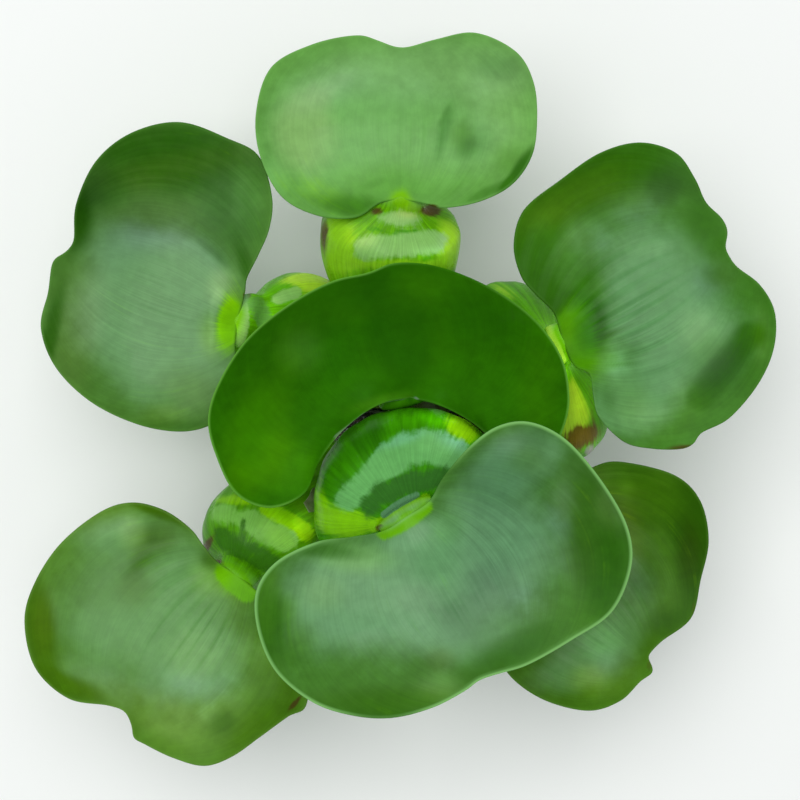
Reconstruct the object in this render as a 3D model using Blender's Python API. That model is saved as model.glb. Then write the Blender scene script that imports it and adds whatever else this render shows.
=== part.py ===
"""Water hyacinth, lifted out of its pond and set down on its roots.

A rosette of seven leaves stands on a short crown. Each leaf is a swollen spongy stalk (its float)
and a kidney-shaped blade. Sizes are in millimetres until they reach a mesh, +Z is up, and the
origin is on the floor under the crown.
"""

import math

import bmesh
import bpy
import numpy as np

MM = 0.001

# Blade outlines are drawn as they look from this point over the plant, on a plane at the datum
# height. A point that stands higher than the datum looks larger, so its true place is nearer in.
SIGHT_X = -5.0
SIGHT_Y = 5.0
SIGHT_HEIGHT = 562.0
DATUM_HEIGHT = 57.0

# Crown, the short stem that carries every leaf
CROWN_RADIUS = 8.5
CROWN_FOOT = 21.5
CROWN_TOP = 39.0
CROWN_SIDES = 16

# Root mass: a mop of roots folded under the plant, flat where it lies
ROOTS_RADIUS = 38.0
ROOTS_HEIGHT = 21.0
ROOTS_EDGE = 2.5
ROOTS_LOCKS = 21
ROOTS_RINGS = 6
ROOTS_SIDES = 84
ROOTS_LOCK_SHARE = 0.035
ROOTS_FURROW_SHARE = 0.07
ROOTS_DOME_POWER = 2.1

# Leaf parts. A blade stays flat and is thicker round its neck, where its stalk meets it. A float is
# widest at a share of its length, where its belly is, and ends in a slim neck.
BLADE_THICKNESS = 1.1
BLADE_ROOT_THICKNESS = 3.2
BLADE_RINGS = 4
NECK_CALM = 9.0
NECK_SPREAD = 8.0
SPINE_SHARE = 0.5
MARGIN_STEPS = 40
BELLY_STATIONS = 11
NECK_STATIONS = 2
FLOAT_SIDES = 16
STALK_RADIUS = 3.6
NECK_HALF_WIDTH = 5.0
NECK_HALF_DEPTH = 2.2
NECK_INSET = 1.2
BELLY_SHARE = 0.62
BELLY_END = 0.92
BELOW_BELLY = (2.0, 1.1)
# Above its belly a float has a slim, mild or blunt shoulder: how late it narrows, and how fast.
SLIM = (1.9, 0.95)
MILD = (2.3, 0.8)
BLUNT = (2.9, 0.6)
TOUCH_GAP = 0.35
FOOT_GAP = 0.9

# Papery sheath, which comes up between two floats
SHEATH_THICKNESS = 0.5
SHEATH_ROUTE = [(-6.8, -5.9, 36.2), (-12.0, -10.6, 40.5), (-18.5, -16.0, 45.0), (-24.0, -19.5, 49.5),
                (-28.5, -22.0, 56.0)]
SHEATH_HALF_WIDTHS = [3.0, 4.5, 5.0, 4.2, 1.2]

# One entry for each leaf, named by where it lies.
# neck, right, notch, left: the blade's outline as it is seen, from the stalk to the notch at the tip
# height, rise, roll: height of the blade at its neck, and its slope along and across
# cup, wave, waves: how far the margin stands up, and its ripple and the number of ripples
# foot: where the stalk leaves the crown's side, as a direction in degrees and a height
# belly, radius, depth: the widest place of the float, half its width there, and depth over width
# shoulder: how the float narrows from its belly to the neck
LEAVES = {
    "north": {
        "neck": (-4.7, 55.0),
        "right": [(0.5, 54.2), (6, 53), (15, 54.6), (23, 58.8), (28, 66), (29.3, 75), (28.4, 84.5),
                  (24, 92.1), (14, 96.8), (4, 95.2)],
        "notch": (-5.0, 92.5),
        "left": [(-10, 54.2), (-16, 50.6), (-25.4, 51.0), (-34.6, 55.8), (-40, 66), (-41, 77),
                 (-37.2, 88.2), (-27, 93.9), (-16, 96.2), (-10.2, 94.8)],
        "height": 60.0, "rise": 0.16, "roll": 0.0, "cup": 4.0, "wave": 1.2, "waves": 3,
        "foot": (90, 31.5), "belly": (-7.4, 45.2, 47.0), "radius": 17.9, "depth": 0.74,
        "shoulder": BLUNT,
    },
    "northwest": {
        "neck": (-45.5, 24.5),
        "right": [(-43.8, 31.5), (-43.2, 35.5), (-40.5, 41), (-37.6, 48), (-37, 56), (-40.3, 66),
                  (-48, 70.4), (-60, 74.5), (-72, 71.9), (-81, 64.8), (-86, 54), (-86.6, 45)],
        "notch": (-88.5, 42.0),
        "left": [(-46.2, 18), (-45.6, 12), (-46.5, 5), (-51, -0.5), (-59, -2.9), (-70, -1.3),
                 (-82, 4.3), (-91, 13), (-94.8, 23), (-93, 32), (-91.8, 39.5)],
        "height": 58.5, "rise": 0.12, "roll": -0.05, "cup": 4.5, "wave": 1.5, "waves": 3,
        "foot": (144, 26.6), "belly": (-30.0, 20.2, 32.5), "radius": 17.2, "depth": 0.68,
        "shoulder": MILD,
    },
    "northeast": {
        "neck": (35.5, 19.5),
        "right": [(38.5, 13.5), (42.3, 11.5), (43.3, 6), (44.8, 0.6), (51, -5.5), (58, -7.2),
                  (65, -7.3), (68.3, -6), (70.5, -3.2), (77.4, 0.5), (84.6, 9.0), (88.5, 18), (88.7, 27),
                  (85, 33.8), (79, 38.6)],
        "notch": (76.2, 43.0),
        "left": [(33.5, 26.5), (29, 31.2), (25.2, 36), (23.4, 44), (26, 52.6), (35, 60), (45, 66.8),
                 (55, 69.4), (64, 66.8), (68.7, 60.5), (71.5, 54.5), (75.5, 50.4), (76.9, 47)],
        "height": 66.0, "rise": 0.06, "roll": 0.0, "cup": 4.0, "wave": 1.8, "waves": 3,
        "foot": (25, 30.5), "belly": (28.8, 12.3, 43.0), "radius": 25.6, "depth": 0.70,
        "shoulder": SLIM,
    },
    "southwest": {
        "neck": (-45.5, -38.5),
        "right": [(-50.5, -35.5), (-54, -31.5), (-57.5, -27), (-64, -22.5), (-72, -20.6), (-80, -23),
                  (-90, -31), (-96.5, -41), (-98.9, -50.5), (-96.2, -62), (-88, -69.6), (-78, -71.4),
                  (-73.8, -73.0)],
        "notch": (-72.0, -76.5),
        "left": [(-41, -42.5), (-36, -47), (-31, -53), (-28, -62), (-28.5, -71.5), (-33, -74.2),
                 (-40, -79.3), (-47, -84.2), (-54, -86.5), (-62, -84.4), (-69, -81.0), (-71.6, -79.4)],
        "height": 58.0, "rise": 0.14, "roll": 0.0, "cup": 3.5, "wave": 1.6, "waves": 3,
        "foot": (218, 31.5), "belly": (-38.5, -28.4, 39.0), "radius": 15.9, "depth": 0.86,
        "shoulder": MILD,
    },
    "southeast": {
        "neck": (30.0, -31.0),
        "right": [(26, -34.5), (21.5, -39.5), (18.5, -47), (18.5, -56), (22.5, -64), (31, -70),
                  (42, -72.7), (50, -70.3), (55, -65.5), (58.2, -62.8)],
        "notch": (56.8, -59.0),
        "left": [(34, -27), (36.5, -21.5), (39, -15), (44.5, -11.2), (51, -10.5), (63.5, -13.7),
                 (70, -20), (72.2, -30), (70.2, -40), (67.8, -49.5), (60.5, -55.3)],
        "height": 57.0, "rise": 0.08, "roll": 0.0, "cup": 3.5, "wave": 1.6, "waves": 3,
        "foot": (312, 29.5), "belly": (22.5, -28.0, 37.5), "radius": 12.6, "depth": 0.95,
        "shoulder": MILD,
    },
    "inner_north": {
        "neck": (-2.5, 5.3),
        "right": [(4, 3.9), (10.6, 0.9), (16.3, -3.3), (20.8, -8.9), (27, -12.2), (33, -8), (36.6, 0),
                  (37.3, 7), (35.5, 15.5), (30, 23.8), (22, 30.5), (12, 35.8), (2, 38.9), (-7, 39.2)],
        "notch": (-12.5, 36.8),
        "left": [(-9, 4.2), (-15, 1), (-21, -4.5), (-25.5, -11), (-29, -18.5), (-37.5, -22),
                 (-46, -18.5), (-51, -9), (-53, 0), (-50.5, 9), (-43.5, 20), (-33, 28.8), (-22, 34.7)],
        "height": 73.0, "rise": 0.50, "roll": 0.0, "cup": 9.0, "wave": 0.8, "waves": 2,
        "foot": None, "belly": (-4.0, 13.6, 56.5), "radius": 7.8, "depth": 1.0,
        "shoulder": BLUNT,
    },
    "inner_south": {
        "neck": (-3.5, -24.0),
        "right": [(-9, -27.6), (-17, -29.2), (-26, -30.5), (-36, -35.5), (-41, -43), (-40.5, -53),
                  (-36, -63), (-27, -70.5), (-17, -73.9), (-7, -74.5), (3, -72), (11, -67.9),
                  (15, -65)],
        "notch": (19.5, -63.5),
        "left": [(2.2, -20.3), (6, -14), (13, -6), (20, -1.3), (28, -0.6), (37, -5.3), (46, -16),
                 (52, -27), (52.8, -37), (48, -48), (38, -55), (27, -61.2)],
        "height": 96.5, "rise": -0.08, "roll": 0.0, "cup": 6.0, "wave": 0.8, "waves": 3,
        "foot": None, "belly": (-1.8, -21.0, 68.0), "radius": 24.6, "depth": 0.97,
        "shoulder": BLUNT,
    },
}

# The two inner stalks stand on top of the crown, at these places.
TOP_FEET = {"inner_north": (-1.0, 4.4), "inner_south": (-1.2, -4.2)}

COLOURS = {
    "blade": (0.07, 0.22, 0.03, 1.0),
    "float": (0.26, 0.48, 0.03, 1.0),
    "crown": (0.30, 0.36, 0.10, 1.0),
    "roots": (0.035, 0.018, 0.022, 1.0),
    "sheath": (0.40, 0.34, 0.18, 1.0),
}


def material(name, roughness):
    """A plain finish in one of the plant's colours."""
    made = bpy.data.materials.new(name)
    made.use_nodes = True
    shader = made.node_tree.nodes["Principled BSDF"]
    shader.inputs["Base Color"].default_value = COLOURS[name]
    shader.inputs["Roughness"].default_value = roughness
    shader.inputs["Metallic"].default_value = 0.0
    return made


def solid(name, points, faces, finish):
    """One object from points in millimetres, shaded smooth, with its faces turned outwards."""
    mesh = bpy.data.meshes.new(name)
    mesh.from_pydata([tuple(p) for p in np.asarray(points) * MM], [], faces)
    work = bmesh.new()
    work.from_mesh(mesh)
    bmesh.ops.recalc_face_normals(work, faces=work.faces)
    work.to_mesh(mesh)
    work.free()
    mesh.shade_smooth()
    mesh.materials.append(finish)
    made = bpy.data.objects.new(name, mesh)
    bpy.context.scene.collection.objects.link(made)
    return made


def true_place(seen, height):
    """Where a point that is seen at these plan coordinates really is, at its height."""
    nearer = (SIGHT_HEIGHT - height) / (SIGHT_HEIGHT - DATUM_HEIGHT)
    return np.stack([SIGHT_X + (seen[..., 0] - SIGHT_X) * nearer,
                     SIGHT_Y + (seen[..., 1] - SIGHT_Y) * nearer,
                     height * np.ones_like(nearer)], axis=-1)


def unit(vector):
    return vector / np.linalg.norm(vector)


def smooth_curve(points, steps):
    """A Catmull-Rom curve through points, read at equal steps of its length, ends included."""
    points = np.asarray(points, float)
    padded = np.vstack([2 * points[0] - points[1], points, 2 * points[-1] - points[-2]])
    share = np.linspace(0, 1, 12, endpoint=False)[:, None]
    pieces = []
    for a, b, c, d in zip(padded[:-3], padded[1:-2], padded[2:-1], padded[3:]):
        pieces.append(0.5 * (2 * b + (c - a) * share + (2 * a - 5 * b + 4 * c - d) * share ** 2
                             + (3 * b - a - 3 * c + d) * share ** 3))
    dense = np.vstack(pieces + [points[-1:]])
    length = np.concatenate([[0], np.cumsum(np.linalg.norm(np.diff(dense, axis=0), axis=1))])
    wanted = np.linspace(0, length[-1], steps + 1)
    return np.stack([np.interp(wanted, length, dense[:, k]) for k in range(2)], axis=-1)


def blade_frame(leaf):
    """The neck point, and unit vectors along the blade and across it, in plan."""
    neck = np.array(leaf["neck"])
    along = unit(np.array(leaf["notch"]) - neck)
    return neck, along, np.array([along[1], -along[0]])


def blade_height(leaf, seen, reach, turn):
    """Height of a blade at seen plan points. Reach runs from 0 on its spine to 1 on its margin."""
    neck, along, across = blade_frame(leaf)
    offset = seen - neck
    forward = offset @ along
    sideways = offset @ across
    free = 1 - np.exp(-((forward / NECK_CALM) ** 2 + (sideways / NECK_CALM) ** 2))
    ripple = leaf["wave"] * np.sin(2 * math.pi * leaf["waves"] * turn) * reach ** 3
    return (leaf["height"] + leaf["rise"] * forward + leaf["roll"] * sideways
            + (leaf["cup"] * reach ** 2 + ripple) * free)


def blade(name, leaf, finish):
    """A blade: rings from a spine line out to the margin, given thickness afterwards."""
    half = MARGIN_STEPS // 2
    right = smooth_curve([leaf["neck"], *leaf["right"], leaf["notch"]], half)
    left = smooth_curve([leaf["neck"], *leaf["left"], leaf["notch"]], half)
    margin = np.vstack([right[:-1], left[::-1][:-1]])
    middle = (np.array(leaf["neck"]) + np.array(leaf["notch"])) / 2
    swing = SPINE_SHARE * np.sin(math.pi * np.arange(half) / half)[:, None]
    spine = np.vstack([middle + (side[half // 2] - middle) * swing for side in (right, left)])
    turn = np.arange(MARGIN_STEPS) / MARGIN_STEPS

    points = []
    weights = []
    neck = np.array(leaf["neck"])
    for ring in range(BLADE_RINGS + 1):
        reach = ring / BLADE_RINGS
        seen = spine + (margin - spine) * reach
        points.append(true_place(seen, blade_height(leaf, seen, reach, turn)))
        near = np.exp(-(np.linalg.norm(seen - neck, axis=1) / NECK_SPREAD) ** 2)
        weights.append((BLADE_THICKNESS + (BLADE_ROOT_THICKNESS - BLADE_THICKNESS) * near)
                       / BLADE_ROOT_THICKNESS)
    points = np.vstack(points)

    # The spine ring runs out and back along one line, so its two ways share their points.
    def index(ring, step):
        step %= MARGIN_STEPS
        if ring:
            return ring * MARGIN_STEPS + step
        side, within = divmod(step, half)
        folded = min(within, half - within)
        return side * half + folded if folded else 0

    faces = []
    for ring in range(BLADE_RINGS):
        for step in range(MARGIN_STEPS):
            corners = [index(ring, step), index(ring, step + 1),
                       index(ring + 1, step + 1), index(ring + 1, step)]
            faces.append(list(dict.fromkeys(corners)))
    used = sorted({i for face in faces for i in face})
    order = {old: new for new, old in enumerate(used)}
    made = solid("blade_" + name, points[used], [[order[i] for i in face] for face in faces], finish)

    # Solidify gives thickness, most at the neck.
    group = made.vertex_groups.new(name="thickness")
    for new, weight in enumerate(np.concatenate(weights)[used]):
        group.add([new], float(weight), "REPLACE")
    shell = made.modifiers.new("thickness", "SOLIDIFY")
    shell.thickness = BLADE_ROOT_THICKNESS * MM
    shell.offset = 0.0
    shell.vertex_group = group.name
    return made


def stalk_start(name, leaf):
    """Where a leaf's stalk leaves the crown."""
    if leaf["foot"] is None:
        return np.array([*TOP_FEET[name], CROWN_TOP + STALK_RADIUS])
    turn, level = math.radians(leaf["foot"][0]), leaf["foot"][1]
    reach = CROWN_RADIUS + FOOT_GAP
    return np.array([reach * math.cos(turn), reach * math.sin(turn), level])


def float_stalk(name, leaf, finish):
    """A swollen stalk: oval sections along a curve that leaves the crown flat and rises to the neck."""
    belly = true_place(np.array(leaf["belly"][:2]), leaf["belly"][2])
    start = stalk_start(name, leaf)
    neck, along, across = blade_frame(leaf)
    top = leaf["height"] - BLADE_ROOT_THICKNESS / 2 - TOUCH_GAP
    end = true_place(neck + along * NECK_INSET, top)

    # One bent curve from start to end, which passes through the belly on its way.
    m = BELLY_SHARE
    bend = (belly - (1 - m) ** 2 * start - m ** 2 * end) / (2 * m * (1 - m))
    belly_steps = math.pi * np.arange(BELLY_STATIONS) / (BELLY_STATIONS - 1)
    share = np.concatenate([BELLY_END * (0.5 - 0.5 * np.cos(belly_steps)),
                            np.linspace(BELLY_END, 1, NECK_STATIONS + 1)[1:]])
    s = share[:, None]
    centre = (1 - s) ** 2 * start + 2 * s * (1 - s) * bend + s ** 2 * end
    course = (1 - s) * (bend - start) + s * (end - bend)
    course /= np.linalg.norm(course, axis=1)[:, None]
    level_across = np.array([*across, 0.0])
    side = level_across - (course @ level_across)[:, None] * course
    side /= np.linalg.norm(side, axis=1)[:, None]
    rise = np.cross(side, course)

    # The belly swells on each side of its middle.
    below = share < m
    away = np.clip(np.where(below, (m - share) / m, (share - m) / (BELLY_END - m)), 0, 1)
    swell = ((1 - away ** np.where(below, BELOW_BELLY[0], leaf["shoulder"][0]))
             ** np.where(below, BELOW_BELLY[1], leaf["shoulder"][1]))
    slim = np.where(below, STALK_RADIUS, NECK_HALF_WIDTH)
    thin = np.where(below, STALK_RADIUS, NECK_HALF_DEPTH)
    half_width = slim + (leaf["radius"] - slim) * swell
    half_depth = thin + (leaf["depth"] * leaf["radius"] - thin) * swell

    angle = 2 * math.pi * np.arange(FLOAT_SIDES) / FLOAT_SIDES
    ring = (np.cos(angle)[None, :, None] * (half_width[:, None] * side)[:, None, :]
            + np.sin(angle)[None, :, None] * (half_depth[:, None] * rise)[:, None, :])
    points = centre[:, None, :] + ring
    points[-1, :, 2] = top
    if leaf["foot"] is None:
        points[0, :, 2] = CROWN_TOP + TOUCH_GAP
    return solid("float_" + name, points.reshape(-1, 3), tube_faces(len(share), FLOAT_SIDES), finish)


def tube_faces(rings, sides):
    """Faces of a closed tube made of rings, with a cap at each end."""
    faces = []
    for ring in range(rings - 1):
        for side in range(sides):
            after = (side + 1) % sides
            faces.append([ring * sides + side, ring * sides + after,
                          (ring + 1) * sides + after, (ring + 1) * sides + side])
    faces.append(list(range(sides))[::-1])
    faces.append(list(range((rings - 1) * sides, rings * sides)))
    return faces


def crown(finish):
    """The short stem: a barrel with a rounded shoulder."""
    profile = [(0.72, CROWN_FOOT), (0.95, CROWN_FOOT + 2.5), (1.0, CROWN_FOOT + 6.5),
               (0.97, CROWN_TOP - 4.0), (0.86, CROWN_TOP - 1.2), (0.66, CROWN_TOP)]
    angle = 2 * math.pi * np.arange(CROWN_SIDES) / CROWN_SIDES
    points = [(CROWN_RADIUS * share * math.cos(a), CROWN_RADIUS * share * math.sin(a), level)
              for share, level in profile for a in angle]
    return solid("crown", points, tube_faces(len(profile), CROWN_SIDES), finish)


def root_mass(finish):
    """The tangled roots: a dome of locks that run down and outwards from the crown."""
    angle = 2 * math.pi * np.arange(ROOTS_SIDES) / ROOTS_SIDES
    locks = np.cos(ROOTS_LOCKS * angle)
    spread = 0.025 * np.cos(4 * angle + 1.0) + 0.02 * np.cos(7 * angle)
    reach = ROOTS_RADIUS * (0.93 + ROOTS_LOCK_SHARE * locks + spread)
    rings = []
    for ring in range(ROOTS_RINGS + 1):
        share = 1 - ring / (ROOTS_RINGS + 0.8)
        level = ROOTS_EDGE + (ROOTS_HEIGHT - ROOTS_EDGE) * (1 - share ** ROOTS_DOME_POWER)
        furrow = 1 - ROOTS_FURROW_SHARE * share * (1 - locks)
        rings.append(np.stack([reach * share * np.cos(angle), reach * share * np.sin(angle),
                               level * furrow], axis=-1))
    foot = rings[0] * [0.96, 0.96, 0.0]
    return solid("root_mass", np.vstack([foot, *rings]), tube_faces(ROOTS_RINGS + 2, ROOTS_SIDES), finish)


def sheath(finish):
    """A papery strip that comes up between two floats, widest half way and hollow towards its float."""
    route = np.array(SHEATH_ROUTE)
    onward = np.gradient(route, axis=0)
    aside = np.cross(onward, [0, 0, 1])
    aside /= np.linalg.norm(aside, axis=1)[:, None]
    wide = np.array(SHEATH_HALF_WIDTHS)
    share = np.linspace(-1, 1, 5)
    points = (route[:, None, :] + share[None, :, None] * wide[:, None, None] * aside[:, None, :]
              + (share ** 2)[None, :, None] * wide[:, None, None] * np.array([0, 0, -0.35]))
    rows, columns = points.shape[:2]
    faces = [[r * columns + k, r * columns + k + 1, (r + 1) * columns + k + 1, (r + 1) * columns + k]
             for r in range(rows - 1) for k in range(columns - 1)]
    made = solid("sheath", points.reshape(-1, 3), faces, finish)
    shell = made.modifiers.new("thickness", "SOLIDIFY")
    shell.thickness = SHEATH_THICKNESS * MM
    shell.offset = 0.0
    return made


def main():
    for old in list(bpy.data.objects):
        bpy.data.objects.remove(old)
    finishes = {name: material(name, rough) for name, rough in
                (("blade", 0.35), ("float", 0.3), ("crown", 0.5), ("roots", 0.8), ("sheath", 0.6))}
    root_mass(finishes["roots"])
    crown(finishes["crown"])
    for name, leaf in LEAVES.items():
        float_stalk(name, leaf, finishes["float"])
        blade(name, leaf, finishes["blade"])
    sheath(finishes["sheath"])


main()
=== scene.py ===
import math

import bmesh
import bpy
import numpy as np
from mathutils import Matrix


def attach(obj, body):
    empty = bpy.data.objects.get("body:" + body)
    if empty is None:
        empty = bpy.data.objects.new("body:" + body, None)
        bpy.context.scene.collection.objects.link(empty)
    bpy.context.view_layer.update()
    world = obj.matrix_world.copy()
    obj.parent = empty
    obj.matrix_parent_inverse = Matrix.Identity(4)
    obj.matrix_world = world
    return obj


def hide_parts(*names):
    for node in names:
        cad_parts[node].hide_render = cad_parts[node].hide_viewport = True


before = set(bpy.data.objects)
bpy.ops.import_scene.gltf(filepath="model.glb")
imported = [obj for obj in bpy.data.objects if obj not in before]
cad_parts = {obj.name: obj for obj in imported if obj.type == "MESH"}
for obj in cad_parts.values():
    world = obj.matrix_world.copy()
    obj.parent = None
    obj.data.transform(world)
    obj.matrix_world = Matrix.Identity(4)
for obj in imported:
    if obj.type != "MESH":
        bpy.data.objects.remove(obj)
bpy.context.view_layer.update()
print("frame loaded")

# Lengths are in millimetres until a mesh is filled. Outlines and colour patches are given as they
# look from the point of sight, on a level plane at the datum height.
sight = {"x": -5.0, "y": 5.0, "height": 562.0, "datum": 57.0}

# What most leaves share. An entry of their own below goes before it.
usual = {"roll": 0.0, "waves": 3, "crest": 4.5, "notchRound": 1.0, "gloss": 1.0, "rimWide": 0.8,
         "glintGrey": (92, 142, 102),
         **{title: [] for title in ("gold", "brown", "rimFade", "floatMint", "floatDark", "floatGold",
                                    "floatBrown", "floatLightShadeWash", "floatSilver")}}
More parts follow.
